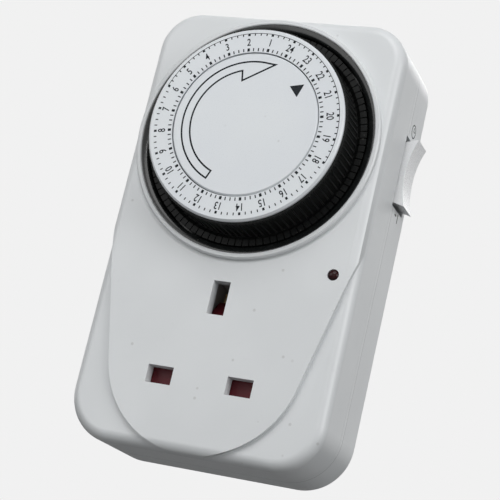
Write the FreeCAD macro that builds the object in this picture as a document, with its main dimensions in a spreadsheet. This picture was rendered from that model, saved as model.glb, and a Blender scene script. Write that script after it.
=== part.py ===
import FreeCAD, Part
import math
import os
import Sketcher

# A plug in timer switch. The origin is on the wall plane, midway between the earth pin and the line and neutral
# pins. +Z is up, +Y goes into the wall and the front faces -Y. Sizes are in millimetres.

doc = FreeCAD.newDocument("timer_switch")
sheet = doc.addObject("Spreadsheet::Sheet", "Sizes")


class Size(float):
    """A number that remembers its formula, so that a feature can be bound to the sheet."""

    def __new__(cls, value, text):
        number = float.__new__(cls, value)
        number.text = text
        return number

    def __add__(self, other):
        return Size(float(self) + float(other), f"({self.text} + {formula(other)})")

    def __radd__(self, other):
        return Size(float(other) + float(self), f"({formula(other)} + {self.text})")

    def __sub__(self, other):
        return Size(float(self) - float(other), f"({self.text} - {formula(other)})")

    def __rsub__(self, other):
        return Size(float(other) - float(self), f"({formula(other)} - {self.text})")

    def __mul__(self, other):
        return Size(float(self) * float(other), f"({self.text} * {formula(other)})")

    def __rmul__(self, other):
        return self * other

    def __truediv__(self, other):
        return Size(float(self) / float(other), f"({self.text} / {formula(other)})")

    def __neg__(self):
        return Size(-float(self), f"(-1 * {self.text})")


def formula(value):
    return value.text if isinstance(value, Size) else repr(float(value))


cells = {}


def size(alias, value):
    """Puts one driving size in the sheet and returns it with its formula."""
    row = len(cells) + 1
    sheet.set(f"A{row}", alias)
    sheet.set(f"B{row}", str(value))
    sheet.setAlias(f"B{row}", alias)
    cells[alias] = value
    return Size(value, f"Sizes.{alias}")


# Case
body_width = size("body_width", 70.8)
body_height = size("body_height", 121.0)
body_depth = size("body_depth", 29.0)
pins_above_bottom = size("pins_above_bottom", 52.2)
parting_depth = size("parting_depth", 14.0)
wall = size("wall", 2.2)
face_wall = size("face_wall", 2.2)
floor_wall = size("floor_wall", 2.5)
panel_step = size("panel_step", 1.3)
top_corner = size("top_corner", 11.0)
bottom_corner = size("bottom_corner", 13.0)
edge_round = size("edge_round", 3.0)
rear_round = size("rear_round", 1.2)
fit_gap = size("fit_gap", 0.1)
free_gap = size("free_gap", 0.3)

# Raised panel on the front
panel_radius = size("panel_radius", 27.0)
panel_centre_drop = size("panel_centre_drop", 25.2)
panel_lean = size("panel_lean", 13.5)

# Dial
dial_rise = size("dial_rise", 33.5)
dial_projection = size("dial_projection", 10.3)
opening_radius = size("opening_radius", 32.46)
lip_width = size("lip_width", 1.45)
lip_height = size("lip_height", 1.45)
ring_radius = size("ring_radius", 26.8)
ring_thickness = size("ring_thickness", 1.1)
disc_radius = size("disc_radius", 19.85)
disc_thickness = size("disc_thickness", 0.8)
web_thickness = size("web_thickness", 1.5)
rim_thickness = size("rim_thickness", 0.8)
drum_radius = size("drum_radius", 24.9)
carrier_radius = size("carrier_radius", 27.25)
hub_radius = size("hub_radius", 5.5)
spindle_radius = size("spindle_radius", 3.0)
running_gap = size("running_gap", 0.05)

# Tappets
tappet_count = 96
tappets_in_group = 4
slot_width = size("slot_width", 1.4)
slot_floor_radius = size("slot_floor_radius", 25.9)
tappet_travel = size("tappet_travel", 3.0)
tappet_length = size("tappet_length", 18.0)
head_radius = size("head_radius", 30.1)
head_lip_radius = size("head_lip_radius", 28.4)
head_width = size("head_width", 1.64)
head_depth = size("head_depth", 29.3)
head_thickness = size("head_thickness", 2.0)
head_groove = size("head_groove", 0.9)
band_width = size("band_width", 0.75)
band_height = size("band_height", 3.0)

# Gear train
ring_teeth = 78
wheel_teeth = 48
pinion_teeth = 12
ring_module = size("ring_module", 0.6)
wheel_module = size("wheel_module", 0.5)
gear_backlash = size("gear_backlash", 0.12)
ring_gear_height = size("ring_gear_height", 4.5)
arbor_angle = size("arbor_angle", 125.0)
motor_angle = size("motor_angle", 252.5)
arbor_radius = size("arbor_radius", 0.8)
wheel_thickness = size("wheel_thickness", 1.4)
motor_radius = size("motor_radius", 18.0)
motor_shaft_radius = size("motor_shaft_radius", 0.75)

# Movement plate
plate_depth = size("plate_depth", 12.3)
plate_thickness = size("plate_thickness", 1.5)
plate_drop = size("plate_drop", 29.5)
plate_lift = size("plate_lift", 23.0)
lever_half = size("lever_half", 1.6)
lever_overlap = size("lever_overlap", 0.7)

# Plug and outlet
pin_pitch = size("pin_pitch", 22.22)
line_offset = size("line_offset", 11.11)
earth_width = size("earth_width", 4.0)
earth_height = size("earth_height", 8.0)
earth_length = size("earth_length", 22.7)
live_width = size("live_width", 6.35)
live_height = size("live_height", 4.0)
live_length = size("live_length", 17.7)
sleeve_length = size("sleeve_length", 9.0)
sleeve_wall = size("sleeve_wall", 0.6)
pin_inside = size("pin_inside", 5.5)
shoulder_thickness = size("shoulder_thickness", 1.5)
outlet_drop = size("outlet_drop", 22.0)
live_hole_width = size("live_hole_width", 7.1)
live_hole_height = size("live_hole_height", 4.7)
earth_hole_width = size("earth_hole_width", 4.7)
earth_hole_height = size("earth_hole_height", 9.0)
shutter_thickness = size("shutter_thickness", 1.4)
shutter_travel = size("shutter_travel", 5.6)
brass = size("brass_thickness", 0.8)

# Override and switch
rocker_rise = size("rocker_rise", 34.4)
switch_middle = size("switch_middle", 20.8)
switch_width = size("switch_width", 6.4)
rocker_height = size("rocker_height", 19.0)
rocker_depth = size("rocker_depth", 8.3)
rocker_rear = size("rocker_rear", 3.5)
rocker_reach = size("rocker_reach", 3.0)
rocker_hollow = size("rocker_hollow", 1.9)
rocker_pivot_inset = size("rocker_pivot_inset", 4.0)
rocker_taper = size("rocker_taper", 1.5)
slot_end_gap = size("slot_end_gap", 0.4)
lens_side = size("lens_side", 29.1)
lens_drop = size("lens_drop", 0.8)
lens_radius = size("lens_radius", 1.45)
screw_radius = size("screw_radius", 1.4)

doc.recompute()

half_width = body_width / 2
bottom = -pins_above_bottom
top = bottom + body_height
face = -body_depth
low_face = face + panel_step
roof = low_face + face_wall
parting = -parting_depth
dial_front = face - dial_projection
ring_rear = dial_front + ring_thickness
web_rear = ring_rear + web_thickness
outlet = -outlet_drop
half_pitch = pin_pitch / 2
plate_front = -(plate_depth + plate_thickness)
plate_rear = -plate_depth

# Helpers


def bind(thing, path, value):
    """Binds one property to its formula in the sheet, or sets it where it is a plain number."""
    if isinstance(value, Size):
        thing.setExpression(path, value.text)
    else:
        thing.setExpression(path, repr(float(value)))


def place(thing, x, y, z):
    bind(thing, "Placement.Base.x", x)
    bind(thing, "Placement.Base.y", y)
    bind(thing, "Placement.Base.z", z)


def box(name, low, high):
    """A block from its low corner to its high corner."""
    block = doc.addObject("Part::Box", name)
    for side, a, b in zip(("Length", "Width", "Height"), low, high):
        bind(block, side, b - a)
    place(block, *low)
    return block


TURNS = {"X": FreeCAD.Rotation(FreeCAD.Vector(0, 1, 0), 90), "Y": FreeCAD.Rotation(FreeCAD.Vector(1, 0, 0), -90)}


def rod(name, radius, start, length, way="Y"):
    """A round bar that runs from start along +X, +Y or +Z."""
    bar = doc.addObject("Part::Cylinder", name)
    bind(bar, "Radius", radius)
    bind(bar, "Height", length)
    if way in TURNS:
        bar.Placement = FreeCAD.Placement(FreeCAD.Vector(0, 0, 0), TURNS[way])
    place(bar, *start)
    return bar


def fuse(name, *things):
    joined = doc.addObject("Part::MultiFuse", name)
    joined.Shapes = list(things)
    joined.Refine = True
    return joined


def cut(name, base, *tools):
    piece = doc.addObject("Part::Cut", name)
    piece.Base = base
    piece.Tool = tools[0] if len(tools) == 1 else fuse(name + "_cutter", *tools)
    piece.Refine = True
    return piece


def common(name, first, second):
    piece = doc.addObject("Part::Common", name)
    piece.Base = first
    piece.Tool = second
    piece.Refine = True
    return piece


def group(name, things):
    """Like pieces kept in one node as separate solids."""
    together = doc.addObject("Part::Compound", name)
    together.Links = things
    return together


def profile(body, plane, offset, points):
    """A closed sketch of straight lines whose corners are bound to the sheet."""
    sketch = body.newObject("Sketcher::SketchObject", body.Name + "_outline")
    origin = [f for f in body.Origin.OriginFeatures if f.Role == plane][0]
    sketch.AttachmentSupport = (origin, [""])
    sketch.MapMode = "FlatFace"
    bind(sketch, "AttachmentOffset.Base.z", offset)
    corners = [FreeCAD.Vector(float(x), float(y), 0) for x, y in points]
    last = len(corners) - 1
    for i, corner in enumerate(corners):
        following = corners[0] if i == last else corners[i + 1]
        sketch.addGeometry(Part.LineSegment(corner, following), False)
    for i, (x, y) in enumerate(points):
        sketch.addConstraint(Sketcher.Constraint("Coincident", i, 2, 0 if i == last else i + 1, 1))
        for kind, axis, value in (("DistanceX", -2, x), ("DistanceY", -1, y)):
            if float(value) == 0:
                sketch.addConstraint(Sketcher.Constraint("PointOnObject", i, 1, axis))
                continue
            index = sketch.addConstraint(Sketcher.Constraint(kind, -1, 1, i, 1, float(value)))
            bind(sketch, f"Constraints[{index}]", value)
    return sketch


def turned(name, points, rise=0.0, side=0.0):
    """A piece of revolution about an axis along Y, from corners given as radius and depth."""
    body = doc.addObject("PartDesign::Body", name)
    sketch = profile(body, "XY_Plane", 0.0, points)
    feature = body.newObject("PartDesign::Revolution", name + "_turn")
    feature.Profile = sketch
    feature.ReferenceAxis = (sketch, ["V_Axis"])
    feature.Angle = 360
    place(body, side, 0.0, rise)
    return body


def plate(name, points, rear, front):
    """A flat piece from corners in X and Z, between its rear and front depths."""
    body = doc.addObject("PartDesign::Body", name)
    sketch = profile(body, "XZ_Plane", -rear, points)
    pad = body.newObject("PartDesign::Pad", name + "_pad")
    pad.Profile = sketch
    bind(pad, "Length", rear - front)
    return body


def rectangle(x0, x1, z0, z1):
    return [(x0, z0), (x1, z0), (x1, z1), (x0, z1)]


def edges_where(shape, test):
    return [f"Edge{i}" for i, edge in enumerate(shape.Edges, 1) if test(edge)]


def runs_along_y(edge):
    a, b = edge.Vertexes[0].Point, edge.Vertexes[-1].Point
    return abs(a.x - b.x) < 1e-6 and abs(a.z - b.z) < 1e-6 and abs(a.y - b.y) > 1e-6


def dress(body, kind, name, test, value):
    """Adds a fillet or a chamfer to those edges of a body's last feature that pass the test."""
    doc.recompute()
    base = body.Tip
    names = edges_where(base.Shape, test)
    dressed = body.newObject(kind, name)
    dressed.Base = (base, names)
    bind(dressed, "Radius" if kind.endswith("Fillet") else "Size", value)
    body.Tip = dressed
    doc.recompute()
    return dressed


def at_depth(y):
    return lambda edge: abs(edge.CenterOfMass.y - float(y)) < 1e-6


def rounded_block(name, inset, rear, front, soft_end=None, soft_radius=None):
    """The case's outline, drawn in by inset, with its corners rounded and one end's edge softened."""
    body = plate(name, rectangle(inset - half_width, half_width - inset, bottom + inset, top - inset), rear, front)
    middle = float(bottom + top) / 2

    def upper(edge):
        return runs_along_y(edge) and edge.CenterOfMass.z > middle and len(edge.Vertexes) == 2

    def lower(edge):
        return runs_along_y(edge) and edge.CenterOfMass.z < middle and abs(edge.CenterOfMass.x) > float(
            half_width - inset
        ) - 1e-6

    dress(body, "PartDesign::Fillet", f"{name}_top_corners", upper, top_corner - inset)
    dress(body, "PartDesign::Fillet", f"{name}_bottom_corners", lower, bottom_corner - inset)
    if soft_end is not None:
        dress(body, "PartDesign::Fillet", f"{name}_soft_edge", at_depth(soft_end), soft_radius)
    return body


def feature(name, shape):
    piece = doc.addObject("Part::Feature", name)
    piece.Shape = shape
    return piece


def prism(points, rear, front):
    """A solid from corners in X and Z, between two depths."""
    loop = [FreeCAD.Vector(x, rear, z) for x, z in points]
    return Part.Face(Part.makePolygon(loop + loop[:1])).extrude(FreeCAD.Vector(0, front - rear, 0))


nodes = {}


def node(name, thing):
    """Names a finished piece and keeps it for export."""
    thing.Label = name
    nodes[name] = thing
    return thing


# Front shell: the low corners, and the raised panel cut from a higher block by its U shaped outline

lean = math.radians(panel_lean)
panel_drop = -panel_centre_drop
tangent_x = panel_radius * math.cos(lean)
tangent_z = panel_drop - panel_radius * math.sin(lean)
beyond = half_width + wall
shoulder_z = tangent_z + (beyond - tangent_x) / math.tan(lean)


def panel_outline():
    """A round bottom, two lines that lean outward as tangents, and a straight top past the case."""
    front, back = float(face) - 1, float(low_face) + 1
    right = FreeCAD.Vector(tangent_x, back, tangent_z)
    left = FreeCAD.Vector(-tangent_x, back, tangent_z)
    lowest = FreeCAD.Vector(0, back, panel_drop - panel_radius)
    corners = [
        right,
        FreeCAD.Vector(beyond, back, shoulder_z),
        FreeCAD.Vector(beyond, back, top + wall),
        FreeCAD.Vector(-beyond, back, top + wall),
        FreeCAD.Vector(-beyond, back, shoulder_z),
        left,
    ]
    lines = [Part.LineSegment(a, b).toShape() for a, b in zip(corners, corners[1:])]
    arc = Part.Arc(left, lowest, right).toShape()
    return Part.Face(Part.Wire(lines + [arc])).extrude(FreeCAD.Vector(0, front - back, 0))


low_block = rounded_block("low_block", 0.0, parting, low_face, low_face, edge_round)
high_block = rounded_block("high_block", 0.0, parting, face, face, edge_round)
raised = common("raised_panel", high_block, feature("panel_outline", panel_outline()))
cavity = rounded_block("front_cavity", wall, parting + 1, roof)
lip = turned(
    "dial_lip",
    [
        (opening_radius - fit_gap, roof - 0.5),
        (opening_radius + lip_width, roof - 0.5),
        (opening_radius + lip_width, face - lip_height + 0.4),
        (opening_radius + lip_width - 0.4, face - lip_height),
        (opening_radius + 0.25, face - lip_height),
        (opening_radius - fit_gap, face - lip_height + 0.25),
    ],
    dial_rise,
)
opening = rod("dial_opening", opening_radius, (0.0, face - lip_height - 1, dial_rise), body_depth, "Y")
holes = [opening]
for side, name in ((-1, "neutral"), (1, "line")):
    x = line_offset * side
    holes.append(
        box(
            f"{name}_hole",
            (x - live_hole_width / 2, face - 1, outlet - half_pitch - live_hole_height / 2),
            (x + live_hole_width / 2, roof + 1, outlet - half_pitch + live_hole_height / 2),
        )
    )
holes.append(
    box(
        "earth_hole",
        (-earth_hole_width / 2, face - 1, outlet + half_pitch - earth_hole_height / 2),
        (earth_hole_width / 2, roof + 1, outlet + half_pitch + earth_hole_height / 2),
    )
)
holes.append(rod("lens_hole", lens_radius + running_gap, (lens_side, face - 1, -lens_drop), face_wall + 3))

screw_side_top = half_width - top_corner + 2.6
screw_side_bottom = half_width - bottom_corner + 3.8
screw_places = [
    (side * x, z)
    for side in (-1, 1)
    for x, z in ((screw_side_top, top - top_corner + 2.7), (screw_side_bottom, bottom + bottom_corner - 4.4))
]
boss_radius = size("boss_radius", 3.2)
doc.recompute()
boss_rear = -size("boss_depth", 12.2)
doc.recompute()
bosses = [
    rod(f"front_boss_{i}", boss_radius, (x, roof - 0.5, z), boss_rear - roof + 0.5)
    for i, (x, z) in enumerate(screw_places, 1)
]
pilots = [
    rod(f"pilot_{i}", screw_radius + running_gap, (x, boss_rear - 9, z), 10.0)
    for i, (x, z) in enumerate(screw_places, 1)
]
hollow = cut("front_hollow", fuse("front_solid", low_block, raised, lip), cavity)
node("front_shell", cut("front_shell", fuse("front_with_bosses", hollow, *bosses), *holes, *pilots))

# Rear shell: floor on the wall, posts under the movement plate, and the rocker's slot in the right wall

rear_block = rounded_block("rear_block", 0.0, 0.0, parting, 0.0, rear_round)
rear_cavity = rounded_block("rear_cavity", wall, -floor_wall, parting - 1)
post_radius = 2.4
post_places = [
    (side * (half_width - 5.9), z) for side in (-1, 1) for z in (dial_rise - 25.5, dial_rise + 19.0)
]
posts = [
    rod(f"plate_post_{i}", post_radius, (x, plate_rear, z), plate_depth - floor_wall + 0.5)
    for i, (x, z) in enumerate(post_places, 1)
]
rear_bosses = [
    rod(f"rear_boss_{i}", boss_radius, (x, boss_rear + 0.1, z), -boss_rear - 0.6)
    for i, (x, z) in enumerate(screw_places, 1)
]
head_seat = -5.0
rear_holes = []
for i, (x, z) in enumerate(screw_places, 1):
    rear_holes.append(rod(f"screw_way_{i}", screw_radius + fit_gap, (x, -15.0, z), 16.0))
    rear_holes.append(rod(f"head_way_{i}", 2.9, (x, head_seat, z), 6.0))
rear_holes.append(
    box(
        "rocker_slot",
        (half_width - wall - 1, parting + 0.7, rocker_rise - rocker_height / 2 - slot_end_gap),
        (half_width + 1, -rocker_rear + free_gap, rocker_rise + rocker_height / 2 + slot_end_gap),
    )
)
rear_holes.append(
    box(
        "earth_pin_hole",
        (-earth_width / 2, -floor_wall - 1, half_pitch - earth_height / 2),
        (earth_width / 2, 1.0, half_pitch + earth_height / 2),
    )
)
for side, name in ((-1, "neutral"), (1, "line")):
    rear_holes.append(
        box(
            f"{name}_pin_hole",
            (line_offset * side - live_width / 2, -floor_wall - 1, -half_pitch - live_height / 2),
            (line_offset * side + live_width / 2, 1.0, -half_pitch + live_height / 2),
        )
    )
pivot_x = half_width - rocker_pivot_inset
rocker_pin_radius = size("rocker_pin_radius", 1.0)
doc.recompute()
pivot_boss = rod("pivot_boss", 2.2, (pivot_x, -rocker_rear + free_gap, rocker_rise), rocker_rear - 1.0)
rear_holes.append(rod("pivot_way", rocker_pin_radius, (pivot_x, -rocker_rear - 1, rocker_rise), 3.0))
rear_body = fuse("rear_solid", cut("rear_hollow", rear_block, rear_cavity), *posts, *rear_bosses, pivot_boss)
node("rear_shell", cut("rear_shell", rear_body, *rear_holes))

# Case screws: four alike in one piece list

screw_parts = []
for i, (x, z) in enumerate(screw_places, 1):
    shank = rod(f"screw_shank_{i}", screw_radius, (x, boss_rear - 7.5, z), -boss_rear + 7.5 + head_seat)
    head = rod(f"screw_head_{i}", 2.6, (x, head_seat, z), 2.0)
    drive = box(f"screw_drive_{i}", (x - 1.5, head_seat + 1.2, z - 0.35), (x + 1.5, head_seat + 3, z + 0.35))
    screw_parts.append(cut(f"case_screw_{i}", fuse(f"screw_blank_{i}", shank, head), drive))
node("case_screws", group("case_screws", screw_parts))

# Plug pins, each with a shoulder on the floor of the case


def chamfered_bar(name, x, z, width, height, front, tip):
    bar = plate(name, rectangle(x - width / 2, x + width / 2, z - height / 2, z + height / 2), tip, front)
    dress(bar, "PartDesign::Chamfer", name + "_tip", at_depth(tip), 0.9)
    return bar


def shoulder(name, x, z, width, height):
    return box(
        name,
        (x - width / 2 - 1.2, -floor_wall - shoulder_thickness, z - height / 2 - 1.2),
        (x + width / 2 + 1.2, -floor_wall, z + height / 2 + 1.2),
    )


pin_front = -pin_inside
earth_bar = chamfered_bar("earth_bar", 0.0, half_pitch, earth_width, earth_height, pin_front, earth_length)
node("earth_pin", fuse("earth_pin", earth_bar, shoulder("earth_shoulder", 0.0, half_pitch, earth_width, earth_height)))
sleeves = []
for side, name in ((1, "line"), (-1, "neutral")):
    x = line_offset * side
    z = -half_pitch
    bar = chamfered_bar(f"{name}_bar", x, z, live_width, live_height, pin_front, live_length)
    inner = (live_width / 2 - sleeve_wall, live_height / 2 - sleeve_wall)
    neck = box(
        f"{name}_neck", (x - inner[0], -0.1, z - inner[1]), (x + inner[0], sleeve_length, z + inner[1])
    )
    waist = box(
        f"{name}_waist",
        (x - live_width, 0.0, z - live_height),
        (x + live_width, sleeve_length, z + live_height),
    )
    necked = fuse(f"{name}_necked", cut(f"{name}_ends", bar, waist), neck)
    pin = fuse(f"{name}_pin", necked, shoulder(f"{name}_shoulder", x, z, live_width, live_height))
    node(f"{name}_pin", pin)
    outside = box(
        f"{name}_sleeve_outside",
        (x - live_width / 2, 0.0, z - live_height / 2),
        (x + live_width / 2, sleeve_length, z + live_height / 2),
    )
    inside = box(
        f"{name}_sleeve_inside",
        (x - inner[0], -1.0, z - inner[1]),
        (x + inner[0], sleeve_length + 1, z + inner[1]),
    )
    sleeves.append(cut(f"{name}_pin_sleeve", outside, inside))
node("pin_sleeves", group("pin_sleeves", sleeves))

# Outlet: carrier, spring contacts with their straps, shutter and its spring

shutter_front = roof + free_gap
shutter_rear = shutter_front + shutter_thickness
carrier_front = shutter_rear + free_gap
carrier_rear = -9.4
carrier_half = 19.0
contact_gap = 0.4
strap_front = -8.9
strap_width = 4.0
earth_z = outlet + half_pitch
live_z = outlet - half_pitch
carrier_top = earth_z + 8.0
carrier_bottom = live_z - 12.0


def contact(name, x, z, pin_w, pin_h, grips_sides, pin_z, front):
    """Two leaves that grip a pin, on a base from which a strap runs up to the plug pin."""
    if grips_sides:
        leaves = [
            box(
                f"{name}_leaf_{i}",
                (x + s * (pin_w / 2 + 0.5) - brass / 2, front, z - pin_h / 2),
                (x + s * (pin_w / 2 + 0.5) + brass / 2, strap_front, z + pin_h / 2),
            )
            for i, s in enumerate((-1, 1), 1)
        ]
    else:
        leaves = [
            box(
                f"{name}_leaf_{i}",
                (x - pin_w / 2, front, z + s * (pin_h / 2 + 0.5) - brass / 2),
                (x + pin_w / 2, strap_front, z + s * (pin_h / 2 + 0.5) + brass / 2),
            )
            for i, s in enumerate((-1, 1), 1)
        ]
    half = pin_w / 2 + 0.5 + brass / 2
    base = box(
        f"{name}_base",
        (x - half, strap_front - 0.1, z - pin_h / 2 - 0.5 - brass / 2),
        (x + half, strap_front + brass, z + pin_h / 2 + 0.5 + brass / 2),
    )
    pieces = leaves + [base]
    if pin_z is not None:
        pieces.append(
            box(f"{name}_strap", (x - strap_width / 2, strap_front, z), (x + strap_width / 2, strap_front + brass, pin_z))
        )
        pieces.append(
            box(
                f"{name}_tail",
                (x - strap_width / 2, strap_front, pin_z - 2.0),
                (x + strap_width / 2, pin_front, pin_z - 2.0 + brass),
            )
        )
        pieces.append(
            box(
                f"{name}_pad",
                (x - strap_width / 2, pin_front - brass, pin_z - 2.0),
                (x + strap_width / 2, pin_front, pin_z + 1.8),
            )
        )
    return pieces


live_grip = carrier_front + 2.5
earth_grip = shutter_front + shutter_travel + 1.2 + free_gap
node(
    "earth_contact",
    fuse(
        "earth_contact",
        *contact("earth_contact", 0.0, earth_z, earth_width, earth_height, True, half_pitch, earth_grip),
    ),
)
node(
    "neutral_contact",
    fuse(
        "neutral_contact",
        *contact("neutral_contact", -line_offset, live_z, live_width, live_height, False, -half_pitch, live_grip),
    ),
)
switch_left = switch_middle - switch_width / 2
switch_right = switch_middle + switch_width / 2
switch_low = rocker_rise - 9.9
load_strap = plate(
    "load_strap",
    [
        (line_offset - 2.0, live_z - 2.0),
        (25.0, live_z - 2.0),
        (25.0, switch_low - 4.0),
        (switch_right - 0.5, switch_low - 4.0),
        (switch_right - 0.5, switch_low),
        (switch_right - 2.9, switch_low),
        (switch_right - 2.9, switch_low - 6.4),
        (22.6, switch_low - 6.4),
        (22.6, live_z + 0.4),
        (line_offset - 2.0, live_z + 0.4),
    ],
    strap_front + brass,
    strap_front,
)
node(
    "line_contact",
    fuse(
        "line_contact",
        *contact("line_contact", line_offset, live_z, live_width, live_height, False, None, live_grip),
        load_strap,
    ),
)
feed = plate(
    "feed_strap",
    [
        (line_offset - 2.0, -half_pitch - 2.0),
        (19.6, -half_pitch - 2.0),
        (19.6, switch_low),
        (switch_left + 0.4, switch_low),
        (switch_left - 0.4, switch_low - 2.0),
        (switch_left - 0.4, -half_pitch + 0.4),
        (line_offset - 2.0, -half_pitch + 0.4),
    ],
    strap_front + brass,
    strap_front,
)
feed_tail = box(
    "feed_tail",
    (line_offset - 2.0, strap_front, -half_pitch - 2.0),
    (line_offset + 2.0, pin_front, -half_pitch - 2.0 + brass),
)
feed_pad = box(
    "feed_pad",
    (line_offset - 2.0, pin_front - brass, -half_pitch - 2.0),
    (line_offset + 2.0, pin_front, -half_pitch + 1.8),
)
node("line_feed_strap", fuse("line_feed_strap", feed, feed_tail, feed_pad))

wells = [
    box(
        "earth_well",
        (-4.2, carrier_front - 1, earth_z - 6.2 - shutter_travel),
        (4.2, carrier_rear + 1, earth_z + 6.0),
    ),
    box(
        "spring_well",
        (-2.2, carrier_front - 1, carrier_bottom - 1),
        (2.2, carrier_front + 3.4, live_z + 1.0),
    ),
]
for side, name in ((-1, "neutral"), (1, "line")):
    x = line_offset * side
    wells.append(
        box(
            f"{name}_well",
            (x - live_width / 2 - 1.6, carrier_front - 1, live_z - live_height / 2 - 1.6),
            (x + live_width / 2 + 1.6, carrier_rear + 1, live_z + live_height / 2 + 1.6),
        )
    )
carrier_block = plate(
    "carrier_block",
    [
        (-carrier_half, carrier_bottom),
        (carrier_half, carrier_bottom),
        (carrier_half, live_z + 8.0),
        (8.0, earth_z - 8.0),
        (8.0, carrier_top),
        (-8.0, carrier_top),
        (-8.0, earth_z - 8.0),
        (-carrier_half, live_z + 8.0),
    ],
    carrier_rear,
    carrier_front,
)
spring_seat = box(
    "spring_seat", (-2.6, shutter_front, carrier_bottom), (2.6, carrier_front + 4, carrier_bottom + 1.4)
)
node("socket_carrier", fuse("socket_carrier", cut("carrier_wells", carrier_block, *wells), spring_seat))

wing_low = live_z - 3.1
wing_high = live_z + 2.9
ramp_low = earth_z - earth_hole_height / 2
ramp_high = ramp_low + shutter_travel
shutter_plate = plate(
    "shutter_plate",
    [
        (-16.6, wing_low),
        (16.6, wing_low),
        (16.6, wing_high),
        (3.4, wing_high + 3.0),
        (3.4, ramp_low),
        (-3.4, ramp_low),
        (-3.4, wing_high + 3.0),
        (-16.6, wing_high),
    ],
    shutter_rear,
    shutter_front,
)


def shutter_ramp():
    """The slope that the earth pin pushes to slide the shutter down."""
    deep = shutter_front + shutter_travel
    corners = [
        (shutter_front, ramp_low),
        (deep, ramp_high),
        (deep + 1.2, ramp_high),
        (deep + 1.2, ramp_high - 1.4),
        (shutter_rear, ramp_low - 1.2),
        (shutter_front, ramp_low - 1.2),
    ]
    loop = [FreeCAD.Vector(-3.4, y, z) for y, z in corners]
    return Part.Face(Part.makePolygon(loop + loop[:1])).extrude(FreeCAD.Vector(6.8, 0, 0))


node("shutter", fuse("shutter", shutter_plate, feature("shutter_ramp", shutter_ramp())))

spring_low = carrier_bottom + 1.4
spring_turns = 6
spring_wire = 0.45
spring_coil = 1.2


def spring_shape():
    """A square wire wound up its own axis, with plain open ends."""
    length = wing_low - spring_low - spring_wire
    y = shutter_front + spring_coil + spring_wire
    helix = Part.makeHelix(length / spring_turns, length, spring_coil)
    half = spring_wire / 2
    corners = [(-half, -half), (half, -half), (half, half), (-half, half)]
    loop = [FreeCAD.Vector(spring_coil + a, 0, b) for a, b in corners]
    coil = Part.Wire(helix).makePipeShell([Part.makePolygon(loop + loop[:1])], True, True)
    coil.translate(FreeCAD.Vector(0, y, spring_low + half))
    return coil


node("shutter_spring", feature("shutter_spring", spring_shape()))

# Bezel: the glossy funnel between the dial opening and the drum

bezel_flange = half_width - wall - 0.25
node(
    "bezel_ring",
    turned(
        "bezel_ring",
        [
            (opening_radius - fit_gap, face - 1.1),
            (opening_radius - 0.45, face - 1.1),
            (head_radius + 0.65, face + 4.6),
            (head_radius + 0.65, face + 5.6),
            (carrier_radius + band_width + 0.35, face + 5.6),
            (carrier_radius + band_width + 0.35, face + 6.6),
            (head_radius + 1.6, face + 6.6),
            (head_radius + 1.6, roof + 1.2),
            (bezel_flange, roof + 1.2),
            (bezel_flange, roof),
            (opening_radius - fit_gap, roof),
        ],
        dial_rise,
    ),
)

# Dial: hour ring, drum with its ring gear, and the carrier whose slots hold the tappets

node(
    "number_ring",
    turned(
        "number_ring",
        [
            (disc_radius + free_gap, ring_rear),
            (ring_radius, ring_rear),
            (ring_radius, dial_front + 0.5),
            (ring_radius - 0.5, dial_front),
            (disc_radius + free_gap, dial_front),
        ],
        dial_rise,
    ),
)
node(
    "centre_disc",
    turned(
        "centre_disc",
        [
            (0.0, dial_front),
            (disc_radius - 0.3, dial_front),
            (disc_radius, dial_front + 0.3),
            (disc_radius, dial_front + disc_thickness),
            (4.0, dial_front + disc_thickness),
            (4.0, web_rear + 1.2),
            (1.55, web_rear + 1.2),
            (1.55, dial_front + 1.0),
            (0.0, dial_front + 1.0),
        ],
        dial_rise,
    ),
)

ring_pitch = ring_module * ring_teeth / 2
gear_front = -22.0
gear_rear = gear_front + ring_gear_height
drum_inside = ring_pitch - 0.1
hub_rear = -24.0
drum_cup = turned(
    "drum_cup",
    [
        (spindle_radius + running_gap, hub_rear),
        (hub_radius, hub_rear),
        (hub_radius, web_rear),
        (drum_inside, web_rear),
        (drum_inside, gear_front + 0.1),
        (drum_radius, gear_front + 0.1),
        (drum_radius, ring_rear + rim_thickness),
        (carrier_radius, ring_rear + rim_thickness),
        (carrier_radius, ring_rear),
        (4.3, ring_rear),
        (4.3, web_rear + 1.6),
        (spindle_radius + running_gap, web_rear + 1.6),
    ],
    dial_rise,
)


def tooth_angles(teeth, module, backlash, radii):
    """Half of a tooth's angle at each radius, on involute flanks of 20 degrees."""
    pitch = module * teeth / 2
    base = pitch * math.cos(math.radians(20))
    at_pitch = math.pi / (2 * teeth) - backlash / (4 * pitch)

    def involute(radius):
        if radius <= base:
            return 0.0
        angle = math.acos(base / radius)
        return math.tan(angle) - angle

    return [(r, at_pitch + involute(pitch) - involute(r)) for r in radii]


def gear_outline(teeth, module, backlash, inner, outer, first):
    """Corners of a toothed outline about the origin, with a tooth or a space at the angle called first."""
    flank = tooth_angles(teeth, module, backlash, (inner, outer))
    corners = []
    for i in range(teeth):
        middle = math.radians(first) + 2 * math.pi * i / teeth
        for radius, half in flank:
            corners.append((radius * math.cos(middle - half), radius * math.sin(middle - half)))
        for radius, half in reversed(flank):
            corners.append((radius * math.cos(middle + half), radius * math.sin(middle + half)))
    return corners


def moved(points, x, z):
    return [(px + x, pz + z) for px, pz in points]


tooth_rise = 0.75
root_drop = 1.0
ring_bore = gear_outline(
    ring_teeth,
    ring_module,
    -gear_backlash,
    ring_pitch - tooth_rise * ring_module,
    ring_pitch + root_drop * ring_module,
    arbor_angle,
)
ring_blank = rod("ring_gear_blank", drum_radius, (0.0, gear_front, dial_rise), ring_gear_height)
ring_way = feature("ring_gear_bore", prism(moved(ring_bore, 0, float(dial_rise)), gear_rear + 1, gear_front - 1))
ring_gear = cut("ring_gear", ring_blank, ring_way)
node("dial_drum", fuse("dial_drum", drum_cup, ring_gear))

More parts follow.
